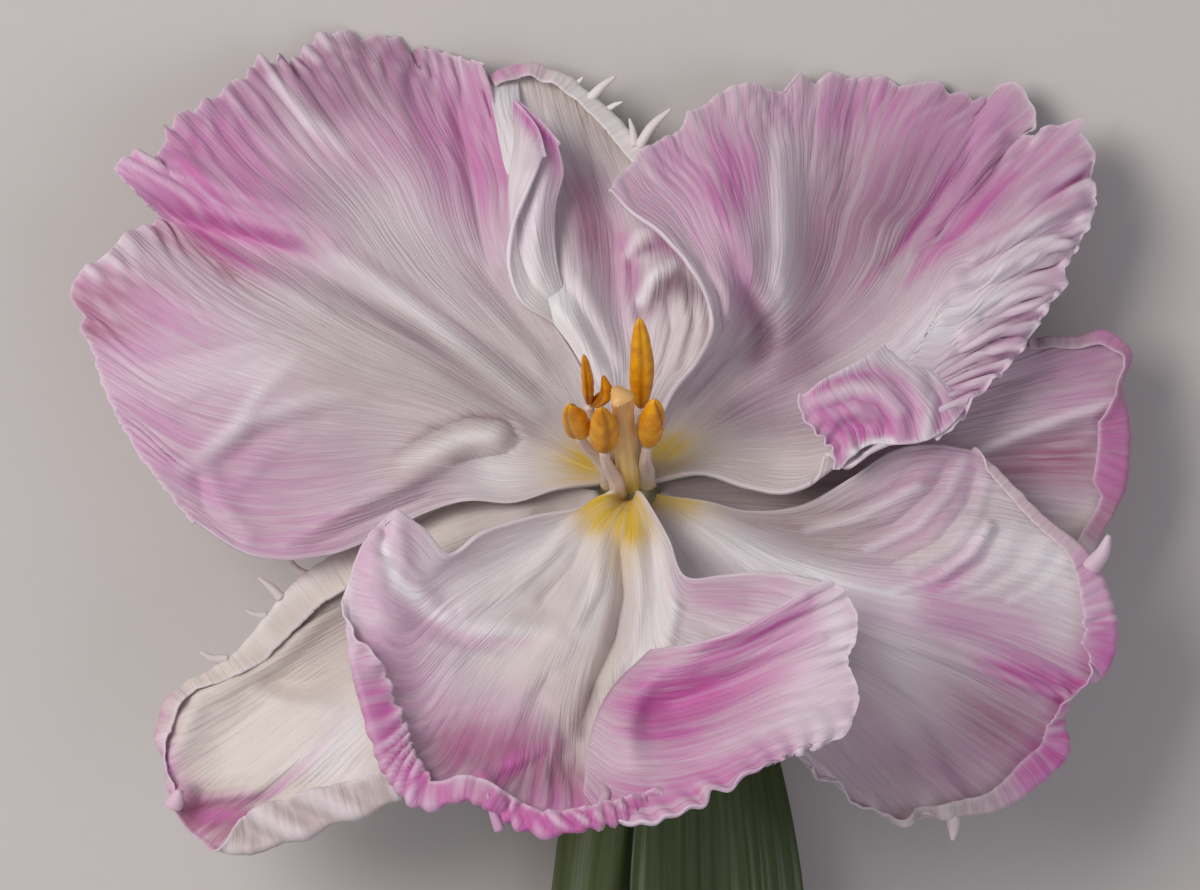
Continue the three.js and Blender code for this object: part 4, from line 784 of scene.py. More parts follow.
upperRight = {
    "left": [inner(60), [3.1, 6.4, -0.9], [5.2, 10.8, -0.4], [8.2, 14.6, 0.8], [9.8, 18.4, 1.8],
        [9.2, 21.6, 1.6], [7.2, 25.4, 0.6], [3.4, 29.8, -1.4], [0.2, 32, -2.8], [-1.9, 34.6, -4.8]],
    "foot": [inner(32)],
    "right": [inner(5), [8.6, 1.2, 2], [14, -0.4, 3.4], [18.5, -1, 3.8], [22, 0.6, 3.6], [23.2, 3.4, 3.4],
        [25.4, 1.9, 4], [28, 3.6, 4], [31.5, 5, 3.6], [36, 5.4, 3]],
    "rim": [[-0.4, 36.8, -7.5], [2.4, 39.2, -10], [7, 42.6, -13.5], [12, 46.2, -17], [18, 46, -18.8],
        [24, 48.2, -21], [31, 47.8, -21.55], [38, 46.8, -20.4], [43, 45.8, -18.4], [46.3, 46.8, -18],
        [48, 43, -16], [46.8, 40.8, -14.8], [52.8, 42.2, -14.5], [55, 38, -12], [54.8, 33.4, -9.6],
        [51.6, 26, -7], [49, 21.6, -5.4], [45.6, 16.2, -3.6], [41, 9.4, 0]],
    "ridges": [(3, 10, 33, 1, 12.6, 28, 0.8, 15, 22, -0.5, 16, 17, -1.2, 12, 12, -0.8),
        (3, 11, 18, 1.2, 13.5, 25, 1.8, 11, 34, 1.8, 9, 41, 1),
        (3.4, 18, 16, 1.2, 17.5, 26, 2, 16, 38, 2.2, 15, 46, 1),
        (3.4, 22, 18, -1, 24, 30, -1.8, 28, 44, -1.4),
        (4.4, 16, 7, -1, 23, 12, -3, 30, 21, -3.8, 38, 31, -3.6, 46, 39.5, -2.4),
        (3.8, 21.4, 9.8, 1.6, 28.5, 14.4, 2.6, 36.7, 22.6, 2.4, 44, 29.6, 2, 53, 35, 1),
        (3, 22, 7.6, 0.4, 27, 11, 0.8, 32, 12, 0.8, 35.6, 9, 0.4, 34.6, 5.6, 0),
        (3, 12, 3, -0.6, 17, 2, -1.4, 21, 2.2, -1)],
    "grid": (360, 88),
    "stripRows": 6,
    "seed": 47,
    "frills": [
        {
            "wave": 3.1,
            "slant": 0.3,
            "height": [[0, 0.1], [0.2, 0.12], [0.5, 0.15], [0.62, 0.45], [0.8, 0.8], [0.95, 0.6], [1, 0.2]],
            "depth": 6.5,
        },
        {
            "wave": 2.2,
            "height": [[0, 0.08], [0.2, 0.14], [0.6, 0.14], [0.7, 0.3], [0.95, 0.3], [1, 0.1]],
            "depth": 12,
        },
    ],
    "teeth": [[0, 0.15], [0.5, 0.25], [0.62, 0.4], [1, 0.4]],
    "outline": [[-0.6, 36.4], [0.8, 37.6], [1.6, 39.2], [3.2, 40.1], [6.4, 41.6], [7.4, 44], [9.9, 45.1],
        [12, 46.8], [15.5, 47.5], [17.9, 46.4], [18.8, 46.4], [20.6, 48.9], [22.6, 47.5], [24.4, 48.9],
        [26.7, 48.1], [30.6, 48.3], [32.6, 47.3], [35.8, 47.7], [37.6, 47.4], [38.5, 46.4], [40.2, 46.4],
        [41.2, 45.4], [42.5, 46], [42.9, 44.9], [44.1, 47], [45.9, 47.6], [47.4, 46], [48.3, 42.4],
        [46.1, 41.1], [50.8, 42.4], [52.6, 42.6], [53.7, 41.4], [54, 43], [55.1, 39.3], [54.6, 35.8],
        [55.3, 33.4], [54.7, 31.9], [53.2, 28.7], [51.9, 26.4], [51.2, 25.8], [51.8, 24], [49.5, 21.6],
        [48.3, 19.1], [46.2, 15.8], [43.6, 13.1], [40.6, 10.5], [38.3, 7.2]],
    "folds": [(0.7, 3.6, 10, 0.3, 6.6, 13.6, 0.6, 9.4, 17.6, 0.8, 10, 21, 0.8, 8, 25, 0.6, 4, 29.4, 0.4),
        (0.6, 4.6, 10, -0.3, 8.4, 14.6, -0.6, 10.8, 18.6, -0.7, 10.6, 22, -0.6, 8.8, 25.2, -0.4),
        (0.7, 5.6, 10, 0.3, 9.6, 14.6, 0.5, 11.8, 18.6, 0.7, 11.6, 22.4, 0.6, 10, 25.4, 0.3),
        (0.7, 7, 10, -0.3, 11, 14.6, -0.5, 13, 18.6, -0.6, 12.6, 22, -0.4),
        (1.2, 11.4, 29.6, -0.5, 12.6, 26, -0.9, 14, 21.8, -1.2, 16, 18.4, -1.3, 16.2, 16, -1,
            14.6, 13.6, -0.4),
        (1.0, 14.4, 28, 0.4, 14.6, 24, 0.7, 16.6, 20.6, 0.9, 18, 17, 0.7, 17, 14, 0.3),
        (1.0, 18.6, 45, 0.3, 18, 38, 0.5, 18.4, 30, 0.6, 18, 24, 0.6, 19, 18, 0.3),
        (1.0, 16.8, 42, -0.4, 16.6, 34, -0.5, 16.8, 28, -0.4),
        (1.2, 22.4, 44, -0.3, 21.2, 36, -0.6, 20.6, 28, -0.5),
        (1.2, 24.6, 38, 0.4, 24, 31, 0.5, 22, 24, 0.3),
        (0.9, 21, 11, 1, 25, 12.6, 1, 28.5, 14.8, 1, 31.5, 17, 0.9, 36.7, 22.8, 0.8, 41.4, 27.5, 0.8,
            46, 31, 0.6, 53, 35, 0.3), (1.0, 42, 44, -0.5, 40, 38, -0.8, 36, 32.6, -0.8, 31, 26, -0.6),
        (1.0, 44.4, 41, 0.5, 40.6, 35, 0.8, 36, 29.6, 0.7, 31, 24, 0.4),
        (0.9, 46, 40.4, -0.5, 42, 35, -0.7, 37.6, 30, -0.6),
        (0.9, 50, 41.6, 0.4, 45, 37, 0.6, 40, 32, 0.6, 36, 28, 0.3),
        (0.8, 53.6, 38, 0.64, 47, 33.6, 0.96, 41, 30, 0.64),
        (0.8, 54, 36, -0.64, 48, 32, -0.8, 42, 28.6, -0.48),
        (0.8, 53.4, 33.6, 0.8, 47, 30, 0.8, 41, 26.6, 0.64),
        (0.8, 52.6, 31.4, -0.8, 46, 28.4, -0.64, 40, 25, -0.48),
        (0.8, 52, 28, 0.96, 45, 26, 0.8, 39, 23.6, 0.48),
        (0.8, 50.6, 26, -0.8, 44, 24, -0.64, 38, 21.6, -0.48),
        (0.9, 48.6, 22.6, 0.96, 43, 22, 0.8, 37, 19.6, 0.48), (0.8, 47.6, 20, -0.8, 42, 19.6, -0.64),
        (0.9, 46, 18, 0.8, 40, 17.6, 0.64), (0.8, 44.6, 15.4, -0.8, 39, 15.4, -0.48)],
    "paint": {
        "pink": [(6, 2, 37, 0.6, 8, 40, 0.6, 14, 43, 0.6, 22, 45, 0.5, 32, 46, 0.45, 42, 44, 0.5),
            (5, 5, 34, 0.5, 10, 34, 0.7, 13, 36, 0.8), (3.5, 10, 30, 0.6, 12.5, 26, 0.6, 14, 21, 0.4),
            (6, 32, 42, 0.4, 26, 34, 0.3, 22, 26, 0.2), (5, 18, 12, 0.25, 26, 20, 0.25),
            (4, 44, 44, 0.6, 41, 38, 0.6, 36, 31, 0.4),
            (4, 52, 40, 0.5, 48, 37, 0.6, 42, 33, 0.6, 37, 28, 0.4),
            (5, 54, 36, 0.5, 52, 29, 0.5, 48, 22, 0.5, 44, 16, 0.6, 40, 10, 0.7),
            (4, 46, 30, 0.3, 40, 22, 0.5, 34, 17, 0.5)],
        "magenta": [(3, 13, 38, 0.6, 12, 34, 0.5), (3, 26, 44, 0.5, 30, 46, 0.5),
            (0.8, 46, 36.4, 0.5, 42, 32.4, 0.9, 37.5, 28, 0.7, 33, 23.6, 0.3),
            (0.7, 43, 36.6, 0.4, 39.4, 32.6, 0.7, 34.6, 27.6, 0.5),
            (0.4, 53.6, 36, 0.6, 48, 32, 0.7, 42, 28.4, 0.5),
            (0.4, 52.6, 31.4, 0.5, 46, 28.2, 0.6, 40, 25, 0.4),
            (0.4, 50.6, 26, 0.5, 44, 23.8, 0.5, 39, 21.6, 0.3),
            (0.7, 38, 37, 0.5, 33, 29, 0.6, 28, 23.5, 0.4)],
        "mauveAndShade": [(3, 38, 38, 0.6, 42, 34, 0.7, 45, 31, 0.4), (4, 14, 10, 0.3, 20, 14, 0.4),
            (7, 38, 42, 0.8, 31, 34, 0.9, 26, 28, 0.8, 21, 18, 0.45), (3, 51, 39, 0.4, 49, 33, 0.4),
            (4, 28, 47, 0.3, 24, 38, 0.4, 21, 28, 0.3),
            (1.6, 12.4, 27, 0.6, 14, 22, 0.7, 16, 18, 0.6, 15.4, 15.4, 0.5),
            (3, 8, 9, 0.35, 14, 8, 0.45, 20, 7, 0.4)],
        "whiteAndHighlight": [(3.4, 30, 14, 0.4, 36, 18, 0.8, 43, 23, 0.8, 48, 29, 0.6),
            (2, 18, 40, 0.4, 18.5, 30, 0.5, 18, 22, 0.5)],
        "yellow": [(2, 3.6, 4, 0.8, 5.6, 4.2, 0.7), (3, 4.4, 3, 0.4, 7.6, 4.4, 0.2)],
        "cream": [(4, 10, 3, 0.5, 16, 1, 0.6, 20, 2, 0.6)],
    },
}
upperRightCurl = {
    "left": [[42.4, 13.6, -5.6], [41.2, 11, -3], [39.4, 8.6, 0.4], [37.4, 6.4, 2.6], [34.6, 5, 3.6],
        [31, 4.6, 3.9], [28.4, 4.6, 4], [26.6, 3.6, 4.2], [24.8, 1.7, 4.4]],
    "foot": [[40.6, 17, -7]],
    "right": [[37, 19, -6.4], [34.4, 18, -4.4], [31.5, 17, -2.7], [28.5, 15.2, 0.6], [25, 13.4, 2.8],
        [22.4, 12, 3.9], [20.8, 10.6, 4]],
    "rim": [[24.6, 4.2, 4.2], [23.2, 6, 4], [21.6, 7.8, 4], [20.8, 9.4, 4]],
    "ridges": [(3.4, 24, 8, 0.6, 30, 10, 1.4, 34, 11, 1), (2, 25.6, 6.6, -1.2, 28.6, 6.6, -1.4)],
    "roll": [[0, 0.8, 60], [0.5, 1.2, 90], [1, 0.8, 60]],
    "grid": (80, 120),
    "stripRows": 8,
    "seed": 53,
    "veinsAcross": True,
    "pleat": 0.03,
    "frills": [{"wave": 3, "height": [[0, 0.1], [0.5, 0.25], [1, 0.1]], "depth": 2}],
    "folds": [(1.0, 25, 13.6, 0.3, 28, 15, 0.4, 31, 15, 0.4, 33.4, 13, 0.45, 34.8, 9.6, 0.45, 35, 6.4, 0.3),
        (0.7, 22.8, 11.4, -0.15, 27.6, 13, -0.25, 31.2, 12, -0.3, 33.4, 9, -0.3, 33.6, 6, -0.2),
        (0.8, 22, 9.8, 0.3, 26.4, 11.4, 0.35, 29.8, 11, 0.35, 31.8, 8.6, 0.4, 31.8, 5.6, 0.3),
        (0.5, 23, 8.8, -0.25, 26.8, 9.9, -0.35, 29.4, 9.2, -0.4, 30.5, 7.4, -0.4, 30, 5.4, -0.3),
        (0.7, 23.8, 7.6, 0.4, 27, 8.6, 0.5, 29, 7.6, 0.5, 28.8, 5.8, 0.4, 26.6, 5.2, 0.3),
        (0.5, 34.9, 5.6, 0.2, 35.4, 8, 0.2, 35.7, 10.4, 0.1),
        (0.6, 36.6, 6.6, -0.4, 36.6, 9.6, -0.4, 35.4, 12.4, -0.3),
        (0.8, 38.6, 7.4, 0.25, 37.6, 10.6, 0.25, 35.6, 13.6, 0.15),
        (0.6, 39.8, 9, -0.3, 38.4, 12, -0.3, 36, 15, -0.2),
        (0.8, 41, 10.8, 0.4, 38.8, 13.6, 0.3, 36, 16.4, 0.2),
        (0.5, 26.4, 3.8, 0.8, 25.6, 5.6, 0.6, 24.2, 7, 0.3)],
    "paint": {
        "pink": [(7, 24, 9, 0.8, 30, 10, 0.7, 36, 10, 0.7, 40, 12, 0.6)],
        "magenta": [(2.2, 24.4, 6.4, 0.7, 27.6, 6.4, 0.8, 30.2, 6.4, 0.6),
            (0.8, 22, 10.6, 0.5, 25.4, 12.2, 0.6, 29, 13, 0.6, 32.4, 11.6, 0.5, 34, 8.6, 0.5),
            (0.5, 23, 8.8, 0.3, 26.8, 9.9, 0.5, 29.4, 9.2, 0.5, 30.5, 7.4, 0.4),
            (0.8, 22, 10, 0.5, 22.6, 8, 0.6, 24.6, 5.6, 0.6, 24.8, 3, 0.6),
            (1, 36.6, 6.8, 0.5, 36.4, 10, 0.4), (1.2, 33, 6, 0.5, 33, 9, 0.4, 31, 11.6, 0.3)],
        "whiteAndHighlight": [(2, 32, 16.6, 0.8, 35, 14.4, 0.7, 37.4, 12, 0.4),
            (1, 25, 13.6, 0.4, 28, 15, 0.5, 31, 15, 0.5, 33.4, 13, 0.4, 34.8, 9.6, 0.3),
            (0.7, 22, 9.8, 0.3, 26.4, 11.4, 0.4, 29.8, 11, 0.3, 31.8, 8.6, 0.3),
            (0.5, 35, 5.6, 0.6, 35.6, 10.2, 0.5), (0.5, 26.4, 3.6, 0.8, 28.4, 4.9, 0.8, 31, 5, 0.7)],
    },
}
rightBehind = {
    "left": [lowest(17), [10, 1.4, -3.4], [20, 5, -4.6], [31, 10, -6], [40, 14, -8], [47.4, 17, -10]],
    "foot": [lowest(8)],
    "right": [lowest(-1), [11, -2.6, -3.2], [21, -4, -3.4], [32, -6, -3.8], [42, -9, -4.6],
        [50, -12, -5.4]],
    "rim": [[53, 17.1, -11], [56.8, 17.6, -11.6], [59.4, 15.4, -11.4], [58.2, 11.4, -10.6], [58.8, 6, -9.8],
        [58.4, 0.6, -8.8], [56.8, -4, -7.8], [54, -8, -6.4]],
    "ridges": [(3, 36, 4, 0.4, 44, 5.6, 1, 57, 9.6, 1.2), (3.2, 38, 1.4, -0.6, 48, 2.4, -2, 55, 3.6, -1.4),
        (4, 40, 10, -0.6, 50, 13, -1.4, 56, 14, -0.6)],
    "roll": [[0, 1.6, 165], [0.1, 1.8, 165], [0.2, 2.4, 165], [0.27, 2.6, 165], [0.35, 1.6, 110],
        [0.42, 1.8, 130], [0.47, 5, 170], [0.68, 5.4, 170], [0.71, 2.8, 170], [0.85, 2.8, 168],
        [1, 1.6, 150]],
    "grid": (130, 70),
    "seed": 59,
    "bend": 0.35,
    "frills": [
        {"wave": 6, "height": [[0, 0.15], [0.5, 0.2], [1, 0.15]], "depth": 3},
        {"wave": 2.4, "height": [[0, 0.06], [1, 0.08]], "depth": 14},
    ],
    "teeth": [[0, 0.15], [0.4, 0.05], [0.7, 0.05], [1, 0.15]],
    "edgeHighlight": 0.35,
    "folds": [(0.8, 36, 1.6, 0.3, 41, 3.4, 0.7, 46, 5.8, 0.9, 52, 8, 0.9, 58, 9.8, 0.6),
        (0.9, 41, 2.6, -0.4, 47, 4, -0.7, 54, 6.4, -0.6), (1.0, 44, 12, -0.3, 50, 13.4, -0.3)],
    "paint": {
        "pink": [(10, 40, 10, 0.7, 55, 10, 0.6)],
        "mauveAndShade": [(4, 50, 15, 0.5, 55, 14, 0.7), (4, 5, 0, 0.4, 15, -1.5, 0.5, 25, -1, 0.5, 33, 1, 0.3),
            (5, 46, 0, 0.25, 52, -2, 0.25, 55, 5, 0.3)],
        "cream": [(4, 5, 0, 0.8, 15, -1.5, 0.8, 25, -1, 0.6),
            (1.6, 46, -6.4, 0.7, 51, -6, 0.8, 55, -4, 0.7)],
        "rose": [(3, 42, 3.4, 0.7, 47, 3, 0.9, 52, 3, 0.9), (3, 40, 7.5, 0.4, 45, 9.6, 0.3)],
        "whiteAndHighlight": [(5, 40, 7, 0.5, 45, 9, 0.4), (0.6, 38, 2.4, 0.3, 46, 5.8, 0.4, 52, 8, 0.4, 58, 9.8, 0.4)],
    },
    "back": {
        "pink": [(6, 58, 18, 0.9, 59, 10, 0.9, 58, 2, 0.9, 56, -2, 0.4)],
        "rose": [(4, 58, 14, 0.4, 58.4, 6, 0.5, 57, -2, 0.4)],
        "magenta": [(2.4, 57, 8, 0.4, 57.4, 3, 0.5, 56.4, -1, 0.4)],
        "mauveAndShade": [(6, 50, 18, 0.7, 58, 17, 1, 58, 10, 1, 57, 0, 1, 53, -8, 0.4)],
        "cream": [(5, 57, -3, 0.8, 53, -9, 0.9)],
    },
}
lowerRight = {
    "left": [outer(-15), [8.5, -1.9, 0.4], [14, -3.1, 1], [20, -2.6, 1.3], [26, 0.6, 0.6], [31.5, 4, -0.4],
        [36, 4.7, -1.2], [40.4, 4, -1.8]],
    "foot": [outer(-32)],
    "right": [outer(-50), [4.2, -6, 2.4], [6, -10.6, 4.4], [9.6, -17, 7.4], [13.6, -23, 9.6],
        [17.6, -29, 11], [21.2, -33, 11.6]],
    "rim": [[43.6, 1, -1.4], [48.8, -4.4, -0.4], [53.6, -8.6, 0.2], [55.4, -12, 0], [56.6, -17.6, -0.4],
        [55.4, -22, 0.2], [51.4, -24.8, 1.6], [50.6, -28.2, 2], [51, -31, 2.4], [47, -35.2, 4],
        [42.8, -37.8, 5.4], [37.6, -38.6, 7], [30, -38.9, 9], [25.6, -35.8, 10.4]],
    "ridges": [(2.6, 5.6, -2.6, 0.3, 10, -6.4, 1.6, 16, -9.2, 2.2, 24, -11.4, 2, 34, -14, 1.2,
            48, -14, 0.4), (4, 12, -4.6, -0.6, 22, -6, -2, 32, -7, -1.4, 40, -3, -0.6),
        (3, 26, -15.4, 0.8, 36, -19.6, 1.4, 46, -23.2, 1.8, 52, -24.8, 1),
        (3.4, 28, -19, -0.5, 38, -23.6, -1.3, 46, -27, -1.6, 50, -28, -1),
        (3, 27, -24, 0.8, 34, -31, 1.4, 38, -37, 0.8), (3, 34, -2, 0.4, 38, -6, 0.6, 48, -9, 0.7),
        (3, 36, -11, -0.3, 46, -9.6, -0.7, 54, -12, -0.5)],
    "roll": [[0, 0.6, 40], [0.04, 1.8, 160], [0.12, 2.2, 170], [0.2, 2.6, 170], [0.26, 4, 170],
        [0.32, 5.4, 170], [0.38, 5.8, 172], [0.42, 3.4, 160], [0.46, 1.2, 70], [0.5, 2.4, 140],
        [0.55, 4.6, 170], [0.62, 4.6, 172], [0.7, 3, 170], [0.8, 2.2, 150], [0.88, 1, 60], [1, 0.6, 0]],
    "grid": (250, 90),
    "seed": 67,
    "bend": 0.4,
    "frills": [
        {
            "wave": 2.8,
            "slant": 0.6,
            "height": [[0, 0.02], [0.24, 0.03], [0.3, 0.2], [0.42, 0.3], [0.5, 0.12], [0.7, 0.12],
                [0.8, 0.1], [1, 0.08]],
            "depth": 3.4,
        },
        {
            "wave": 1.7,
            "height": [[0, 0.03], [0.22, 0.05], [0.3, 0.12], [0.5, 0.08], [0.75, 0.06], [1, 0.02]],
            "depth": 9,
        },
        {"wave": 5, "height": [[0, 0], [0.7, 0], [0.8, 0.6], [1, 0.5]], "depth": 5},
    ],
    "edgeHighlight": 0.3,
    "teeth": [[0, 0.04], [0.25, 0.08], [0.35, 0.6], [0.46, 0.4], [0.6, 0.12], [0.8, 0.06], [1, 0.04]],
    "folds": [(0.8, 37, 4.2, 0.2, 33.8, -0.1, 0.4, 27.3, -3.9, 0.4, 20.9, -5.5, 0.3, 14, -5.4, 0.1),
        (0.6, 34, 3.6, -0.2, 31.4, -0.6, -0.3, 26, -3, -0.3, 19, -4, -0.2),
        (0.6, 38.2, 3.6, -0.3, 36, -0.6, -0.5, 31, -4.8, -0.5, 24, -7.2, -0.3),
        (0.6, 39.5, 3, 0.3, 37.8, -1, 0.5, 34, -5, 0.5, 28, -7.8, 0.4, 22, -9.2, 0.2),
        (0.5, 41, 1.6, -0.3, 39.8, -2.6, -0.5, 36.4, -6.8, -0.5, 31, -9.4, -0.4),
        (0.5, 42.4, 0.4, 0.3, 41.2, -3.6, 0.4, 38.2, -7.6, 0.4, 33.4, -10.2, 0.3),
        (0.5, 42.4, -4.9, 1, 40.3, -8.2, 0.9, 36.5, -10.9, 0.8, 31.6, -12.5, 0.5),
        (0.5, 43.6, -5.6, -0.3, 41.6, -9, -0.3, 37.4, -11.8, -0.3),
        (0.4, 45.6, -4.6, 0.1, 44, -8.4, 0.14, 40.3, -11.4, 0.14, 37, -12.8, 0.08),
        (0.4, 47, -5.8, -0.1, 45, -9.6, -0.14, 41.4, -12.2, -0.1),
        (0.4, 49.2, -6.4, 0.1, 47.2, -9.8, 0.14, 43, -12.3, 0.14, 39, -13.6, 0.08),
        (0.4, 50.4, -7.8, -0.1, 48, -11, -0.14, 44, -13.2, -0.1),
        (0.4, 51.6, -8.9, 0.1, 49, -11.8, 0.14, 44.4, -14, 0.1),
        (0.4, 52.6, -11, -0.1, 49.6, -13, -0.1, 45, -14.8, -0.08),
        (0.7, 26.6, -15.4, -0.5, 31, -16.4, -0.6, 36, -18.4, -0.6, 41, -20.6, -0.5, 47, -22.8, -0.4,
            51, -24, -0.3), (0.6, 27, -17, 0.3, 35, -19.4, 0.6, 44, -22.4, 0.8, 51.4, -24.8, 0.9),
        (1.2, 28, -20, -0.4, 33, -25, -0.6, 37, -31, -0.5, 40, -35, -0.3),
        (1.2, 27, -22, 0.4, 31, -27, 0.5, 34, -33, 0.4), (1.1, 31, -19, 0.3, 37, -24, 0.5, 41, -30, 0.3)],
    "paint": {
        "whiteAndHighlight": [(5, 31, -20, 0.5, 33, -26, 0.5),
            (0.4, 42.6, -4.6, 0.3, 40.3, -8.2, 0.4, 36.5, -10.9, 0.3, 31.6, -12.5, 0.3),
            (0.25, 45.6, -4.6, 0.3, 44, -8.4, 0.4, 40.3, -11.4, 0.4, 37, -12.8, 0.2),
            (0.25, 49.2, -6.4, 0.3, 47.2, -9.8, 0.4, 43, -12.3, 0.4, 39, -13.6, 0.2),
            (0.25, 51.6, -8.9, 0.3, 49, -11.8, 0.4, 44.4, -14, 0.3),
            (0.5, 34, -0.3, 0.4, 27.3, -3.9, 0.4, 21, -5.5, 0.3),
            (0.5, 39.6, 3, 0.4, 37.8, -1, 0.4, 34, -5, 0.4, 28, -7.8, 0.3),
            (2.6, 8, -5, 0.8, 14, -8, 0.9, 22, -11, 0.8, 32, -13.4, 0.7),
            (3, 40, -6, 0.4, 46, -8, 0.5, 50, -10, 0.4), (4, 52, -10, 0.6, 54, -14, 0.5)],
        "cream": [(4, 12, -3.6, 0.7, 20, -4.6, 0.8, 28, -5, 0.5, 34, -6, 0.4),
            (4, 40, -35, 0.4, 32, -37, 0.4), (3, 28, -27, 0.4, 33, -33, 0.5)],
        "pink": [(1.6, 26, -11.6, 0.8, 33, -12.4, 0.9, 38, -11, 0.8, 41, -7, 0.5),
            (3, 30, -14, 0.7, 38, -16, 0.8, 46, -17, 0.6), (3.5, 44, -21, 0.7, 50, -23, 0.8, 55, -22, 0.8),
            (3, 52, -27, 0.8, 52, -31, 0.9),
            (1.8, 40, 3, 0.5, 39.4, 0, 0.5, 37.4, -3, 0.5, 33.6, -6, 0.4, 28, -8, 0.2),
            (0.8, 41.4, -7.4, 0.3, 39.4, -10, 0.5, 35, -12.4, 0.5, 29, -13.2, 0.4, 23, -12.8, 0.3),
            (3, 55.6, -14, 0.8, 57, -18, 0.9, 56, -23, 0.8), (8, 30, -28, 0.45, 40, -32, 0.4),
            (5, 36, 3, 0.4, 33, -1, 0.4)],
        "magenta": [(1.6, 45, -22, 0.7, 50, -23.6, 0.8, 51.6, -27, 0.9, 52, -31, 0.9),
            (0.8, 41, -21, 0.4, 46, -22.2, 0.8, 51, -23.6, 0.9, 55, -24, 0.9),
            (1.4, 56, -17, 0.7, 57, -21, 0.7), (2.4, 48.5, -31, 0.6, 47, -33, 0.5)],
        "rose": [(2.4, 27, -19, 0.3, 31, -24, 0.3, 34, -29, 0.2), (3, 36, -24, 0.3, 44, -28, 0.4)],
        "mauveAndShade": [(0.4, 43.8, -5.6, 0.3, 41.6, -9, 0.3, 37.4, -11.8, 0.2),
            (0.4, 47.2, -5.8, 0.3, 45.2, -9.4, 0.3, 41.4, -12.2, 0.2),
            (0.4, 50.4, -7.8, 0.3, 48, -11, 0.3, 44, -13.2, 0.2),
            (6, 47, -28, 0.5, 31, -36, 0.4, 40, -36, 0.4),
            (0.8, 29, -22, 0.2, 34, -27, 0.3, 37, -33, 0.5, 40, -37, 0.3),
            (4, 12, -4.4, 0.3, 20, -6.6, 0.5, 28, -6, 0.3),
            (5, 14, -5, 0.35, 24, -3, 0.4, 33, 0, 0.35, 38, -3, 0.35, 44, -8, 0.2),
            (1.2, 12, -6.6, 0.4, 20, -9, 0.5, 29, -9.6, 0.4)],
        "yellow": [(2.2, 3.4, -1.2, 0.9, 7, -2.2, 0.7, 9.6, -3, 0.2)],
    },
    "back": {
        "pink": [(6, 56, -12, 0.8, 57, -20, 0.9, 52, -28, 0.9, 48, -34, 0.7),
            (2.4, 40, 3, 0.4, 48, -4, 0.3, 53, -8, 0.3)],
        "magenta": [(1.6, 56, -17, 0.5, 56.4, -21, 0.6), (2.4, 51, -27, 0.6, 51, -31, 0.8, 47, -34, 0.6)],
        "cream": [(2.4, 42, 2, 0.8, 48, -4, 0.8, 54, -9, 0.6), (5, 44, -38, 0.6, 34, -39, 0.7)],
        "mauveAndShade": [(5, 44, -37, 0.3, 34, -39, 0.4)],
    },
    "spurs": [(0.9, 37.8, -38.2, 38, -40, 37.9, -41.6), (1.1, 54.2, -10, 55.8, -8, 56.5, -6)],
}
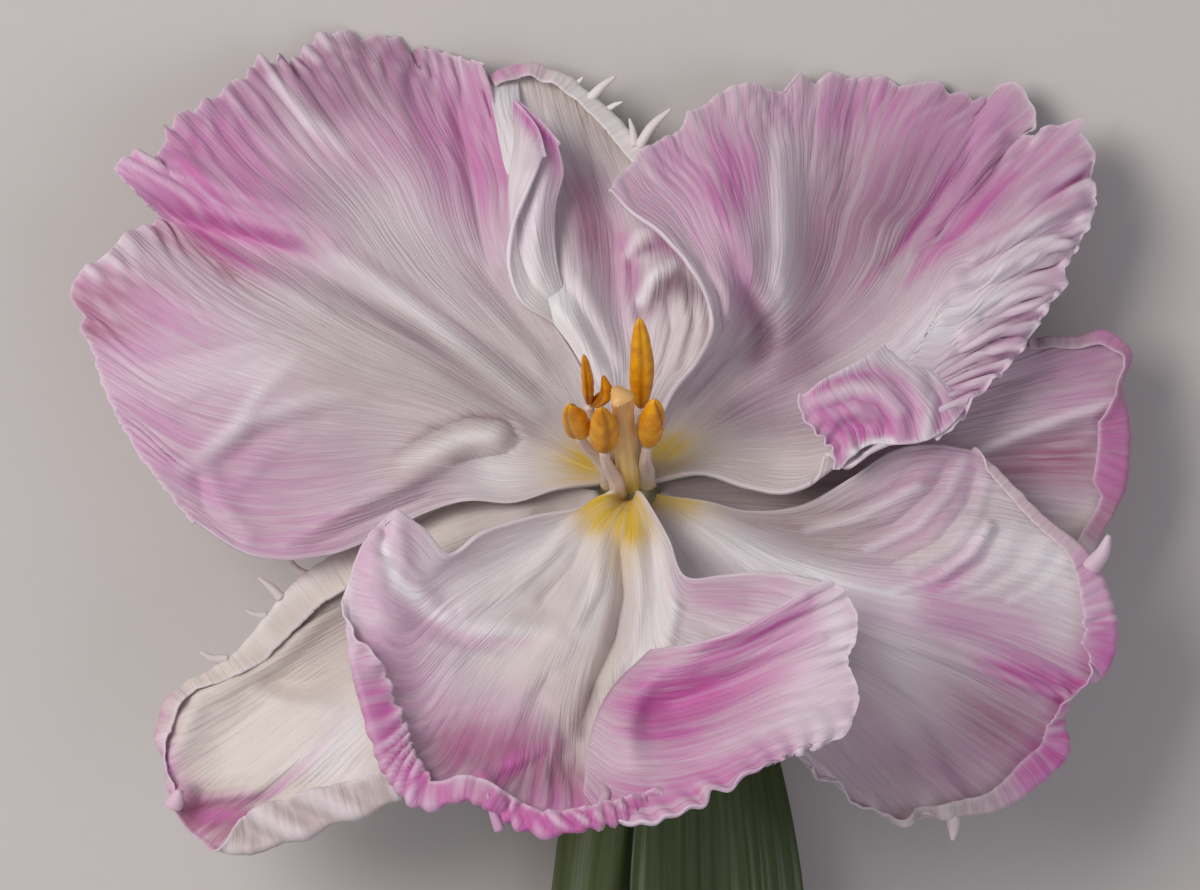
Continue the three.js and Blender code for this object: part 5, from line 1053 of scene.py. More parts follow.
bottomFront = {
    "left": [inner(296), onBloom(3.1, 296, 3.2), [4.6, -6, 7.2], [7.4, -11, 12.4], [11, -10.6, 13.6],
        [16, -10.2, 14.6], [22, -11, 16.4]],
    "foot": [inner(270)],
    "right": [inner(246), onBloom(3.1, 240, 3), [-5.4, -2.6, 4.6], [-11.4, -3.8, 8], [-17, -5.6, 11.4],
        [-21, -8, 13.8], [-23.6, -5.2, 15.2], [-26.4, -3.2, 16]],
    "rim": [[17.4, -22, 21], [12, -31, 27], [4, -37, 31], [-4, -39, 33], [-10.6, -39.8, 31.6],
        [-14, -38.2, 30], [-18, -36, 28.4], [-23.6, -37, 26.6], [-27.4, -33.4, 24.4], [-30, -27, 21.4],
        [-31.8, -20, 19], [-32, -13, 17], [-29.6, -6.4, 16.4]],
    "ridges": [(3, -1, -6, -0.8, 0, -14, -2, -1.6, -21, -2.6, -5, -28, -3, -6, -33, -1.6),
        (3, 3, -8, 0.8, 4.4, -16, 1.2, 2.6, -21, 1),
        (3.4, -5, -8, 0.5, -8, -14, 1, -16, -15.6, 1.2, -24, -14, 1.2),
        (4, -10, -19, -0.8, -18, -21, -1.2, -26, -24, -1),
        (3.4, -8, -27, 0.6, -12, -31, 1.4, -20, -34, 1.2),
        (3, -14, -10, -0.6, -20, -12, -0.8, -24, -13, -0.4),
        (2.6, -28.6, -5.4, 0.8, -29, -10, 1.8, -27, -15, 1.4)],
    "roll": [[0, 0.6, 0], [0.18, 1, 20], [0.26, 2.4, 120], [0.34, 3.2, 145], [0.5, 3.4, 150],
        [0.6, 3.6, 160], [0.64, 5, 168], [0.72, 5.4, 170], [0.8, 4.4, 168], [0.86, 1.4, 90], [0.9, 1, -40],
        [1, 1, -60]],
    "grid": (290, 90),
    "seed": 71,
    "bend": 0.35,
    "frills": [
        {
            "wave": 2.5,
            "slant": 0.8,
            "height": [[0, 0], [0.15, 0.1], [0.25, 0.8], [0.4, 1.1], [0.5, 0.9], [0.56, 0.3], [0.7, 0.4],
                [0.8, 0.3], [0.88, 0.1], [1, 0]],
            "depth": 4.6,
        },
        {"wave": 2.4, "height": [[0, 0], [0.15, 0.1], [0.4, 0.25], [0.8, 0.2], [1, 0.05]], "depth": 12},
    ],
    "teeth": [[0, 0.2], [0.2, 0.5], [0.48, 0.5], [0.54, 0.1], [0.62, 0.2], [0.78, 0.8], [0.88, 0.2],
        [1, 0.1]],
    "folds": [(5, 6, -26, -3, 12, -24, -3),
        (1.1, -30.4, -12, 0.3, -28.6, -15.4, 0.5, -25, -17.6, 0.6, -20, -19.4, 0.4),
        (0.9, -28.4, -9, -0.2, -27.6, -12.4, -0.35, -25, -15, -0.35, -21, -17, -0.3),
        (1.0, -26.6, -5, 0.58, -26, -10, 0.72, -23, -13.4, 0.58),
        (1.2, -18, -17.6, 0.4, -13.6, -16.6, 0.7, -9, -17, 0.5, -4, -17.4, 0.2),
        (1.2, -19, -15.6, -0.3, -13, -14.6, -0.5, -8, -14.8, -0.4),
        (0.8, -6, -4, 0.29, -9, -8, 0.72, -13, -12, 0.72, -19, -14.6, 0.43),
        (0.8, -4.4, -5, -0.29, -6.6, -10, -0.72, -10, -13.4, -0.72),
        (0.8, -3, -6, 0.43, -3.6, -12, 0.87, -6, -16, 0.58),
        (0.8, -1, -7, -0.87, -0.6, -13, -1.3, -1.6, -18, -1.3, -4, -23, -1.45, -5.6, -28, -1.01),
        (0.8, 1, -8, 0.72, 1.4, -14, 1.16, 0.4, -19, 1.01, -2.6, -24, 0.58),
        (0.8, 2.6, -6, -0.43, 3.6, -13, -0.72, 3, -18, -0.58),
        (0.9, 4, -8, 0.58, 5.4, -14, 0.87, 4.6, -18, 0.58),
        (1.3, -30, -17, 0.58, -26, -19.6, 0.87, -21, -21, 0.43),
        (1.0, -17, -33.4, 0.72, -13, -31.6, 1.3, -9, -29.6, 0.87),
        (1.0, -18, -31.4, -0.72, -13.4, -29.2, -0.87, -10, -26, -0.58),
        (0.9, -19, -29, 0.43, -14, -25.6, 0.72, -10, -22, 0.58, -7, -19, 0.43),
        (1.0, -12, -27, -0.43, -9.4, -23, -0.58), (0.7, -16.8, -33, 1, -15.8, -36, 1.4, -16, -39.6, 1),
        (0.6, -28, -3.4, -1.2, -28.3, -5.4, -1, -28.6, -8, -0.4),
        (0.6, -24, -28, 0.43, -20, -26, 0.58, -15, -24.6, 0.43),
        (0.6, -26, -31, -0.43, -21, -29.4, -0.58, -17, -27.6, -0.43),
        (0.7, -10, -36.6, 0.72, -9.6, -33, 0.72, -8.4, -29.6, 0.43),
        (0.7, -6.4, -37.4, -0.72, -6.2, -33, -0.72),
        (0.7, -2.6, -37, 0.72, -3, -33, 0.72, -3.6, -30, 0.29)],
    "paint": {
        "yellow": [(1.9, -3.4, -1.4, 1, -3.6, -4.2, 0.7), (1.4, 0.3, -1.6, 1, 0.7, -5.6, 0.9),
            (3.2, -3, -3, 0.8, 0, -5, 0.7, -1, -8, 0.3)],
        "whiteAndHighlight": [(4, -7, -6, 0.6, -12, -9, 0.6, -16, -12, 0.5),
            (3, -27, -5, 0.4, -26, -9, 0.4, -21, -13, 0.6),
            (0.7, -28.6, -7, 0.7, -26.8, -11.4, 0.8, -23.4, -14.4, 0.7, -18, -16.8, 0.5, -11, -17, 0.3),
            (1.8, -3.4, -6, 0.5, -3.6, -12, 0.8, -4.8, -17, 0.5),
            (6, -28, -12, 0.4, -22, -15, 0.3, -14, -20, 0.35),
            (2.6, 3, -8, 0.8, 4, -14, 0.8, 2.6, -20, 0.7)],
        "cream": [(4, -6, -26, 0.6, -4, -30, 0.6, -2, -34, 0.4),
            (3, 0, -8, 0.5, -1, -14, 0.6, -3, -21, 0.7, -5, -27, 0.5),
            (5, -10, -12, 0.5, -12, -20, 0.6, -10, -25, 0.4)],
        "pink": [(2.6, -26.6, -6, 0.9, -25.6, -10, 0.8, -22, -14, 0.6),
            (2, -29, -5.4, 0.7, -30.6, -9, 0.9, -30, -13, 0.8),
            (0.9, -30, -8, 0.8, -28.2, -13, 0.9, -24.4, -16, 0.8, -18, -18.4, 0.6, -12, -18.4, 0.4),
            (1.4, -29, -14, 0.5, -25, -17, 0.5, -18, -18.4, 0.3),
            (6, -27, -19, 0.6, -25, -25, 0.6, -20, -29, 0.6, -14, -28, 0.5),
            (3, -8, -37, 0.5, -2, -37.6, 0.6, 6, -35, 0.7), (3, -31, -20, 0.7, -29, -30, 0.7),
            (2.4, 6, -12, 0.5, 12, -13.6, 0.5, 17, -12, 0.5)],
        "rose": [(2.8, -20, -30, 0.5, -14, -31, 0.9, -9.6, -32, 0.6, -3, -37, 0.4, 4, -37, 0.4)],
        "magenta": [(1.8, -19, -31, 0.2, -15, -30, 0.3, -11.6, -28, 0.2),
            (1.2, -17, -34, 0.6, -12.6, -31.8, 0.7, -8.6, -29.6, 0.4),
            (2, -25, -35, 0.4, -20, -36, 0.4, -14, -35.6, 0.2, -8, -36, 0.2),
            (2.4, -12, -37.6, 0.3, -6, -38, 0.4, 2, -37, 0.5, 10, -31, 0.6)],
        "mauveAndShade": [(4, -20, -32, 0.8, -12, -33, 0.8, -6, -36, 0.5, 0, -36, 0.5),
            (3, -18, -31, 0.6, -12, -30, 0.6),
            (0.7, -29.6, -12, 0.4, -27.4, -15.4, 0.5, -22, -18, 0.5, -15, -19.6, 0.4),
            (0.4, -28, -3.4, 0.9, -28.4, -6, 0.6, -28.7, -8.6, 0.2), (0.8, -4, -24, 0.6, -5.6, -29, 0.6),
            (2, 7, -11.6, 0.4, 13, -12.6, 0.4), (1.2, -2, -5, 0.1, -1.4, -11, 0.15, -2.4, -18, 0.25)],
    },
    "back": {
        "pink": [(6, -33, -14, 0.7, -33, -24, 0.8, -26, -36, 0.8, -10, -40, 0.8, 8, -37, 0.8)],
        "magenta": [(2, -29, -24, 0.7, -26, -32, 0.8, -20, -37, 0.7, -10, -40, 0.5),
            (3, -14, -38, 0.7, -4, -39, 0.8, 6, -36, 0.7, 13, -31, 0.5)],
        "rose": [(3, -16, -38, 0.4, -6, -38.6, 0.6, 4, -36.4, 0.5)],
        "whiteAndHighlight": [(1.4, -31, -8, 0.6, -33, -15, 0.6, -32.6, -20, 0.4)],
        "mauveAndShade": [(4, -31, -22, 0.3, -27, -31, 0.4, -22, -36, 0.7, -14, -38, 1, -6, -38.4, 1, 4, -36, 1,
                12, -31, 0.7)],
    },
    "spurs": [(0.6, -14.8, -39.6, -15.6, -37.4, -16.2, -35.4)],
}
bottomFrontCup = {
    "left": [[2.8, -19.4, 17.4], [4.8, -18.9, 21], [7.6, -18.2, 25], [12, -16.8, 28], [17.4, -13.8, 30],
        [22.4, -10.9, 31]],
    "foot": [[-1.8, -24, 17.8], [-4.2, -29, 22]],
    "right": [[-5.2, -35.4, 29], [-2.6, -38.2, 32.4], [1.4, -38.8, 34], [7, -37, 34.4], [13.4, -33.2, 34],
        [20.6, -30, 32.6]],
    "rim": [[24.8, -12.8, 31.4], [25.9, -17, 31.4], [24.7, -20, 31.2], [25.9, -24.4, 31.6],
        [24.4, -28.2, 32.2]],
    "ridges": [(2.2, 4, -19.6, 1, 0, -23.4, 3.6, -0.8, -28, 3, 0.6, -33, 1),
        (3.6, 5, -29, -1.6, 6, -26, -2.4, 9, -24, -2.8, 15, -21, -2),
        (3, 7, -18.8, 0.8, 13, -16.2, 1, 20, -12.4, 0.8), (3, 5, -31.6, 0.8, 12, -29.6, 1, 19, -27, 0.6)],
    "grid": (110, 80),
    "stripRows": 8,
    "seed": 83,
    "frills": [
        {"wave": 2.6, "height": [[0, 0.1], [0.5, 0.2], [1, 0.4]], "depth": 3},
        {"wave": 2.2, "height": [[0, 0.1], [1, 0.15]], "depth": 14},
    ],
    "hem": {
        "wave": 2.7,
        "height": 0.9,
        "depth": 3.4,
    },
    "folds": [(0.8, 7, -18.4, 0.5, 13, -16.4, 0.6, 20, -13, 0.6),
        (0.7, 9, -19.4, -0.4, 15, -17.6, -0.5, 21, -15, -0.4),
        (0.7, 10, -21, 0.3, 16, -19.4, 0.4, 22, -17.6, 0.3),
        (3, 2.8, -27, -2, 6.5, -25.6, -2.8, 12, -23.6, -1.8, 17, -20, -0.8)],
    "paint": {
        "pink": [(14, 5, -26, 0.6, 20, -22, 0.5)],
        "magenta": [(4, 3.6, -25, 0.9, 8, -23.6, 0.9, 13, -21, 0.6, 18, -17.6, 0.3),
            (1.6, 10, -18.6, 0.7, 16, -16, 0.7, 21, -13.6, 0.5), (3, 3, -28, 0.7, 6, -29, 0.6),
            (2.4, -3, -36, 0.5, 4, -36.6, 0.6, 11, -33.4, 0.6, 18, -30.6, 0.4)],
        "mauveAndShade": [(2.6, 3, -25, 0.7, 4.4, -28, 0.7, 8.6, -25.4, 0.6, 12, -23.4, 0.3),
            (2, 0, -35, 0.4, 8, -34, 0.4, 15, -31, 0.3)],
        "whiteAndHighlight": [(4, 23, -22, 0.4, 21, -27, 0.4), (2, 23, -14, 0.4, 25, -18, 0.5)],
    },
}
lowerLeftBehind = {
    "left": [outer(226), [-7.4, -9, 1.6], [-11, -15.4, 3.6], [-15.6, -22.6, 5.4], [-20.6, -29, 6.6],
        [-26.6, -36.4, 7]],
    "foot": [outer(208)],
    "right": [outer(190), [-9, 0.2, -1], [-14, -0.4, -1.4], [-19, -1.6, -1.6], [-23.6, -3.8, -1.8],
        [-27, -5, -1.8]],
    "rim": [[-30.6, -38, 6.6], [-35, -39.6, 5.8], [-40, -41.6, 4.6], [-45, -42.8, 3.4], [-50, -41.4, 1.8],
        [-52.8, -38, 0.6], [-54.2, -33, -0.4], [-55, -28.6, -1], [-53, -24.8, -1.4], [-48.4, -22, -1.6],
        [-45, -19.4, -1.6], [-42, -15.6, -1.4], [-38.6, -12, -1.4], [-34, -9, -1.6]],
    "ridges": [(3, -8, -4, 2, -13, -4.6, 3.6, -19, -6, 4, -23, -7.6, 2.6),
        (4, -20, -14, -0.8, -32, -18, -2, -42, -24, -2.4, -48, -30, -1.6),
        (3.4, -26, -27, 0.8, -36, -31, 1.8, -42, -35, 1),
        (3, -44, -24, 0.6, -50.6, -28, 1.4, -53, -33, 0.8), (3, -44, -38, -1.2, -50, -38.4, -1.2)],
    "roll": [[0, 4.4, 168], [0.1, 5.4, 170], [0.2, 6.4, 170], [0.25, 5.4, 168], [0.28, 2.4, 120],
        [0.31, 0.8, 30], [0.38, 0.8, 30], [0.42, 1.6, 120], [0.46, 1, 80], [0.5, 2.6, 165],
        [0.56, 3.2, 170], [0.6, 2.4, 165], [0.66, 3.2, 170], [0.8, 5, 170], [1, 6.4, 168]],
    "grid": (190, 80),
    "seed": 97,
    "pleat": 0.02,
    "bend": 0.3,
    "frills": [
        {
            "wave": 6,
            "slant": 0.6,
            "height": [[0, 0.9], [0.25, 0.7], [0.32, 0.2], [0.5, 0.3], [0.62, 0.1], [1, 0.15]],
            "depth": 6,
        },
        {"wave": 1.9, "height": [[0, 0.05], [1, 0.06]], "depth": 14},
    ],
    "teeth": [[0, 0.3], [0.25, 0.3], [0.4, 0.2], [1, 0.15]],
    "folds": [(1.1, -32, -13, 0.5, -36.4, -16, 0.9, -41.4, -20.8, 0.9, -46, -23.4, 0.9, -50.4, -25.4, 0.8,
            -51.6, -28, 0.7, -53.4, -31.6, 0.6), (0.8, -44, -24.4, 0.4, -41, -25.6, 0.5, -36, -26, 0.3),
        (0.8, -42, -23, -0.3, -38, -23.6, -0.4, -33, -22, -0.2),
        (0.6, -53.8, -36.6, 0.7, -50, -37, 1.1, -44, -36, 1.1, -38, -31.6, 0.8, -34, -27, 0.4),
        (1.2, -45, -22, -0.3, -39, -24, -0.5, -35, -23, -0.4),
        (1.2, -44, -25.4, 0.3, -39, -26.6, 0.5, -35, -26, 0.3),
        (1.3, -50, -36.4, -0.5, -42, -35.6, -0.7, -37, -31, -0.6, -33, -25, -0.3),
        (1.1, -46, -37, 0.4, -40, -35, 0.6, -35, -30, 0.5, -31, -26, 0.3),
        (1.0, -43, -40, 0.6, -39, -37, 0.8, -33, -35.6, 0.7, -28, -34, 0.3),
        (1.1, -52.4, -36.2, 2, -52.3, -36.9, 2)],
    "paint": {
        "cream": [(30, -50, -28, 1, -30, -20, 1)],
        "pink": [(2.4, -55, -25, 0.8, -56, -30, 0.9, -54, -36, 0.9, -52, -41, 0.8),
            (0.7, -54, -37.2, 0.9, -49, -37.5, 0.9, -42, -36.4, 0.8, -37, -32.4, 0.6, -33, -27.4, 0.4),
            (1.6, -51, -40, 0.6, -45, -39.4, 0.5), (2, -52, -41, 0.8, -48, -43, 0.6)],
        "rose": [(2.2, -50.8, -38.8, 1, -46, -39.2, 1, -48, -40.2, 1)],
        "mauveAndShade": [(5, -30, -14, 0.3, -36, -20, 0.2), (2, -50.4, -38.8, 1, -45.6, -39.2, 1),
            (0.4, -53, -37.6, 0.6, -49, -37.9, 0.7, -42.4, -36.8, 0.6, -37.4, -32.7, 0.5, -33.6, -28, 0.3)],
        "magenta": [(1, -50, -39, 0.8, -45.4, -39.2, 0.8)],
        "whiteAndHighlight": [(3.4, -33, -29, 0.8, -35, -33, 0.7, -33, -34, 0.6), (6, -46, -29, 0.3, -40, -30, 0.3)],
    },
    "back": {
        "cream": [(30, -50, -28, 0.9, -30, -20, 0.9)],
        "mauveAndShade": [(5, -44, -40.6, 0.35, -36, -37.6, 0.35, -29, -36, 0.35)],
        "whiteAndHighlight": [(0.8, -34, -9, 0.4, -41, -14, 0.4, -47, -20, 0.4)],
        "pink": [(2.4, -55.6, -25, 0.8, -57, -30, 1, -54, -37, 0.9, -52, -42, 0.8)],
        "magenta": [(1.2, -56, -26, 0.5, -56.6, -30, 0.5)],
    },
    "spurs": [(1.1, -53.4, -37.8, -53, -36.9, -52.7, -35.9),
        (0.5, -37.4, -10.8, -38.9, -10.1, -39.7, -9.1, -39.5, -8, -38.4, -8),
        (0.6, -40.8, -13.4, -42.2, -12, -43.5, -11), (0.5, -42.6, -15.5, -43.8, -15.4, -44.9, -14.9),
        (0.55, -47.2, -20.6, -49, -20.5, -50.3, -19.8)],
}

petal = petalMaterial()
addPetal("upperLeftPetal", [upperLeft], "tepal_upper_left", petal)
addPetal("topCentrePetal", [topCentre, topCentrePocket, topCentreStrap], "tepal_top_centre", petal)
addPetal("upperRightPetal", [upperRight, upperRightCurl], "tepal_upper_right", petal)
addPetal("rightBehindPetal", [rightBehind], "tepal_right_behind", petal)
addPetal("lowerRightPetal", [lowerRight], "tepal_lower_right", petal)
addPetal("bottomFrontPetal", [bottomFront, bottomFrontCup], "tepal_bottom_front", petal)
addPetal("lowerLeftPetal", [lowerLeftBehind], "tepal_lower_left", petal)


# Stamens: each has a whitish filament and an anther of two pollen sacs with a furrow between them. foot is
# the place in the ring in degrees, half the sacs' two half widths, turn their twist in radians, and bow how
# far the middle leaves the straight line.
stamens = {
    "left": {
        "foot": 182, "neck": [-5.6, 5.6, 9.4], "tip": [-6.8, 9.2, 19], "half": [1.6, 1.35], "turn": 0.3,
    },
    "upper_left": {
        "foot": 132, "neck": [-4.6, 9.4, 9.2], "tip": [-5.2, 15.1, 16.2], "half": [0.72, 1.2], "turn": 0,
    },
    "upper": {
        "foot": 96, "neck": [-4.4, 9.2, 8.6], "tip": [-2.9, 12.7, 13.6], "half": [0.8, 0.9], "turn": 0.4,
        "bow": [1.1, -0.3, 0.3],
    },
    "upper_right": {
        "foot": 52, "neck": [1.5, 8.8, 9.6], "tip": [1.3, 19.4, 15], "half": [1.45, 1.2], "turn": 0,
    },
    "right": {
        "foot": 0, "neck": [2.2, 4.5, 10.6], "tip": [3, 9.9, 18.2], "half": [1.65, 1.25], "turn": 0.9,
    },
    "lower_left": {
        "foot": 236, "neck": [-2.8, 3.9, 10.8], "tip": [-3.2, 8.9, 20.4], "half": [1.65, 1.4], "turn": -0.2,
    },
}
stamenSizes = {
    "ring": 2.2,  # radius of the ring of filament feet
    "footRadius": 1.05,
    "neckRadius": 0.55,
    "oval": (1.05, 0.9),  # the filament's half widths as shares of its radius
    "lead": 2.4,  # how far a filament rises along the bloom's axis before it leans
    "straight": 1.2,  # length of the filament's straight end
    "gap": 0.35,  # between filament and anther
    "bow": [0.15, 0, 0.1],
    "furrow": 0.3,  # how deep the furrow is, as a share of the half width
    "furrowWidth": 0.3,  # radians
    "grain": 0.03,  # heights of the fine and the soft unevenness, as shares of the half width
    "ripple": 0.06,
    "sacColours": ("f6b000", "d88a00"),  # the second in soft patches
    # Painted shade in the furrow, at the seam behind it and towards the foot
    "furrowShadeColour": "a86600",
    "grainWidth": 0.00022,  # metres
    "patchWidth": 0.0016,
}


# Ripe anther: dusty pollen over waxy sacs, orange-yellow, with painted shade in the furrow and at the foot
def antherMaterial():
    material, tree = newMaterial("antherPollen")
    place = addNode(tree, "TexCoord").outputs["Object"]
    grains = {"Vector": place, "Scale": 1 / stamenSizes["grainWidth"], "Detail": 2.0}
    grain = addNode(tree, "TexNoise", grains)
    patches = addNode(tree, "TexNoise", {"Vector": place, "Scale": 1 / stamenSizes["patchWidth"]})
    shade = addNode(tree, "Attribute", attribute_name="furrow")
    spread = addNode(tree, "MapRange", {"Value": patches.outputs[0], 1: 0.35, 2: 0.65})
    bright, deep = stamenSizes["sacColours"]
    sac = {0: spread.outputs[0], 6: linear(bright), 7: linear(deep)}
    body = addNode(tree, "Mix", sac, data_type="RGBA")
    # The furrow mark lays painted shade over the sacs
    dark = addNode(tree, "Math", {0: shade.outputs["Fac"], 1: 0.85}, operation="MULTIPLY", use_clamp=True)
    furrowShading = {0: dark.outputs[0], 6: body.outputs[2], 7: linear(stamenSizes["furrowShadeColour"])}
    colour = addNode(tree, "Mix", furrowShading, data_type="RGBA")
    bump = addNode(tree, "Bump", {"Height": grain.outputs[0], "Strength": 0.5, "Distance": 0.0001})
    finishMaterial(tree, {
        "Base Color": colour.outputs[2],
        "Roughness": 0.42,
        "Specular IOR Level": 0.5,
        "Subsurface Weight": 0.1,
        "Subsurface Scale": 0.0005,
        "Normal": bump.outputs["Normal"],
    })
    return material


# Filament and pistil flesh: smooth juicy tissue with faint lines along it, cream to orange, darker at the
# foot
def fleshMaterial(name, foot, middle, tip, lines):
    material, tree = newMaterial(name)
    along = addNode(tree, "UVMap", uv_map="veins").outputs["UV"]
    split = addNode(tree, "SeparateXYZ", {0: along})
    ramp = addNode(tree, "ValToRGB", {0: split.outputs["Y"]})
    stops = ramp.color_ramp.elements
    stops[0].position, stops[0].color = 0.0, linear(foot)
    stops[1].position, stops[1].color = 1.0, linear(tip)
    stops.new(0.3).color = linear(middle)
    scale = addNode(tree, "Mapping", {"Vector": along, "Scale": (lines, 2.0, 1.0)})
    noise = addNode(tree, "TexNoise", {"Vector": scale.outputs[0], "Scale": 1.0, "Detail": 3.0})
    dim = addNode(tree, "MapRange", {"Value": noise.outputs[0], 1: 0.3, 2: 0.7, 3: 0.72, 4: 1.05})
    tint = {0: 1.0, 6: ramp.outputs[0], 7: dim.outputs[0]}
    colour = addNode(tree, "Mix", tint, data_type="RGBA", blend_type="MULTIPLY")
    bump = addNode(tree, "Bump", {"Height": noise.outputs[0], "Strength": 0.4, "Distance": 0.00015})
    finishMaterial(tree, {
        "Base Color": colour.outputs[2],
        "Roughness": 0.4,
        "Subsurface Weight": 0.3,
        "Subsurface Radius": (1.0, 0.6, 0.4),
        "Subsurface Scale": 0.0006,
        "Normal": bump.outputs["Normal"],
    })
    return material


def addFilament(name, line, material, seed):
    def widths(t):
        radius = stamenSizes["footRadius"] + (stamenSizes["neckRadius"] - stamenSizes["footRadius"]) * t
        return radius * stamenSizes["oval"][0], radius * stamenSizes["oval"][1]

    def shape(t, angle):
        return 1 + stamenSizes["ripple"] * latticeNoise(seed, np.cos(angle) + t * 12, np.sin(angle) + 5)

    filament = bodyAlong(lambda t: curveThrough(line, t), widths, 40, 20, shape)
    addPiece("filament_" + name + "_flesh", filament, {}, material, "filament_" + name)


# How far round each place is from the furrow and from the seam behind it, in radians
def roundFromFurrow(twist, t, angle):
    turned = np.mod(angle + twist * (1 + 2 * t) - np.pi / 2 + np.pi, 2 * np.pi) - np.pi
    return turned, np.abs(turned) - np.pi


def addAnther(name, stamen, neck, tip, material, seed):
    # The sacs swell quickly from the foot and narrow slowly towards the point
    def widths(t):
        foot = 1 - np.clip(1 - t / 0.4, 0, 1) ** 2
        point = 1 - np.clip((t - 0.3) / 0.7, 0, 1) ** 2.4
        swell = np.sqrt(np.maximum(foot, 0.004)) * np.maximum(point, 0.004) ** 0.62
        return stamen["half"][0] * swell, stamen["half"][1] * swell

    # Two sacs: the ring is drawn in by a narrow bell at the furrow and at the seam behind it
    def shape(t, angle):
        turned, behind = roundFromFurrow(stamen["turn"], t, angle)
        grain = latticeNoise(seed + 1, 9 * np.cos(angle) + 20 * t, 9 * np.sin(angle) + 40)
        ripple = latticeNoise(seed + 2, 2 * np.cos(angle) + 9 * t, 2 * np.sin(angle) + 30)
        wide = stamenSizes["furrowWidth"]
        drawnIn = np.exp(-((turned / wide) ** 2)) + 0.6 * np.exp(-((behind / wide) ** 2))
        drawn = 1 - stamenSizes["furrow"] * drawnIn
        return drawn + stamenSizes["grain"] * grain + stamenSizes["ripple"] * ripple

    middle = (neck + tip) / 2 + np.array(stamen.get("bow", stamenSizes["bow"]))
    rings, sides = 44, 40
    sac = bodyAlong(lambda t: curveThrough([neck, middle, tip], t), widths, rings, sides, shape)
    t = np.linspace(0, 1, rings + 1)[:, None]
    angle = np.linspace(0, 2 * np.pi, sides, endpoint=False)[None]
    turned, behind = roundFromFurrow(stamen["turn"], t, angle)
    # Painted shade: darkest in the furrow, less at the seam behind it, and towards the foot
    dark = np.exp(-((turned / 0.26) ** 2)) + 0.8 * np.exp(-(behind / 0.3) ** 2) + 0.6 * (1 - t) ** 3
    dark = np.concatenate([dark.ravel(), [0.8, 0.2]])
    addPiece("anther_" + name + "_sacs", sac, {"furrow": dark}, material, "anther_" + name)


def addStamen(name, stamen, flesh, pollen, seed):
    neck = np.array(stamen["neck"], float)
    tip = np.array(stamen["tip"], float)
    towards = unit(tip - neck)
    foot = np.array(onBloom(stamenSizes["ring"], stamen["foot"], 0))
    lead = foot + np.array(onBloom(0, 0, stamenSizes["lead"]))
    top = neck - towards * stamenSizes["gap"]
    addFilament(name, [foot, lead, top - towards * stamenSizes["straight"], top], flesh, seed)
    addAnther(name, stamen, neck, tip, pollen, seed)


filamentFlesh = fleshMaterial("filamentFlesh", "d8c294", "e6d2c6", "e8d2c4", 6.0)
pollen = antherMaterial()
for number, (name, stamen) in enumerate(stamens.items()):
    addStamen(name, stamen, filamentFlesh, pollen, 200 + 10 * number)
print("stamens made")


# Pistil: a three-sided column that widens into a stigma of three lobes, each a bell about its own angle
pistilSizes = {
    "path": [[0, 0, 0], [-0.2, 3.4, 6], [-0.7, 8.2, 13.6], [-0.9, 10.3, 17.4]],
    "footRadius": 1.5,
    "neckRadius": 1.3,
    "stigmaRadius": 1.3,
    "stigmaFrom": 0.84,  # share of the length at which the lobes begin
    "sides": 3,
    "sideRelief": 0.07,  # share of the radius by which the column's sides stand out
    "lobeRelief": 0.16,
    "crests": 18,  # fine ridges round the stigma
    "crestRelief": 0.05,
    "colours": ("ecc85c", "ffe09a", "f6c47c"),  # foot, middle and tip
}


def addPistil():
    foot, neck = pistilSizes["footRadius"], pistilSizes["neckRadius"]

    def widths(t):
        column = foot + (neck - foot) * np.minimum(t / 0.8, 1)
        head = np.clip((t - 0.82) / 0.18, 0, 1)
        radius = column + (pistilSizes["stigmaRadius"] - column) * np.sin(head * 2.2) * 0.9
        return radius, radius

    def shape(t, angle):
        start = pistilSizes["stigmaFrom"]
        relief = np.where(t > start, pistilSizes["lobeRelief"], pistilSizes["sideRelief"])
        lobes = relief * np.cos(pistilSizes["sides"] * angle)
        rise = np.clip((t - start) / 0.16, 0, 1)
        crest = rise * pistilSizes["crestRelief"] * np.cos(pistilSizes["crests"] * angle)
        return 1 + lobes + crest

    body = bodyAlong(lambda t: curveThrough(pistilSizes["path"], t), widths, 90, 60, shape)
    flesh = fleshMaterial("pistilFlesh", *pistilSizes["colours"], 10.0)
    addPiece("pistilColumn", body, {}, flesh, "pistil")


addPistil()


# The stem leaves the bloom along its leaning axis, bends down in an arc and lies along the points called
# lying
stemSizes = {
    "gap": 0.35,
    "neck": 6,  # straight length under the receptacle
    "bendRadius": 24,
    "bendAside": 0.055,  # how far the bend leads to the left, as a share of its advance
    "restHeight": 17.2,  # how far the stem's middle lies below the receptacle
    "radius": 5.0,
    "middleRadius": 4.7,
    "receptacleRadius": 2.2,
    "receptacleHeight": 6.5,
    "length": 300,
    "lying": [[-3.8, -45], [-7.8, -80], [-10.4, -150], [-7.4, -220], [2, -290]],
    "ringPower": 1.7,  # crowds the rings towards the bend
    "ribs": 14,
    "ribRelief": 0.006,  # heights of the ribs and of the unevenness, as shares of the radius
    "unevenness": 0.01,
}
stemFinish = {
    "dark": "3a4721",
    "light": "4f5c2e",
    "drift": "626e3c",
    "start": "bcb67c",
    "line": (0.5, 24),  # millimetres across and along a line of the skin
    "roughness": 0.42,
}
leafFinish = {
    "dark": "35431f",
    "light": "47552c",
    "drift": "5a6a3e",
    "start": "35431f",
    "line": (0.45, 40),
    "roughness": 0.38,
}


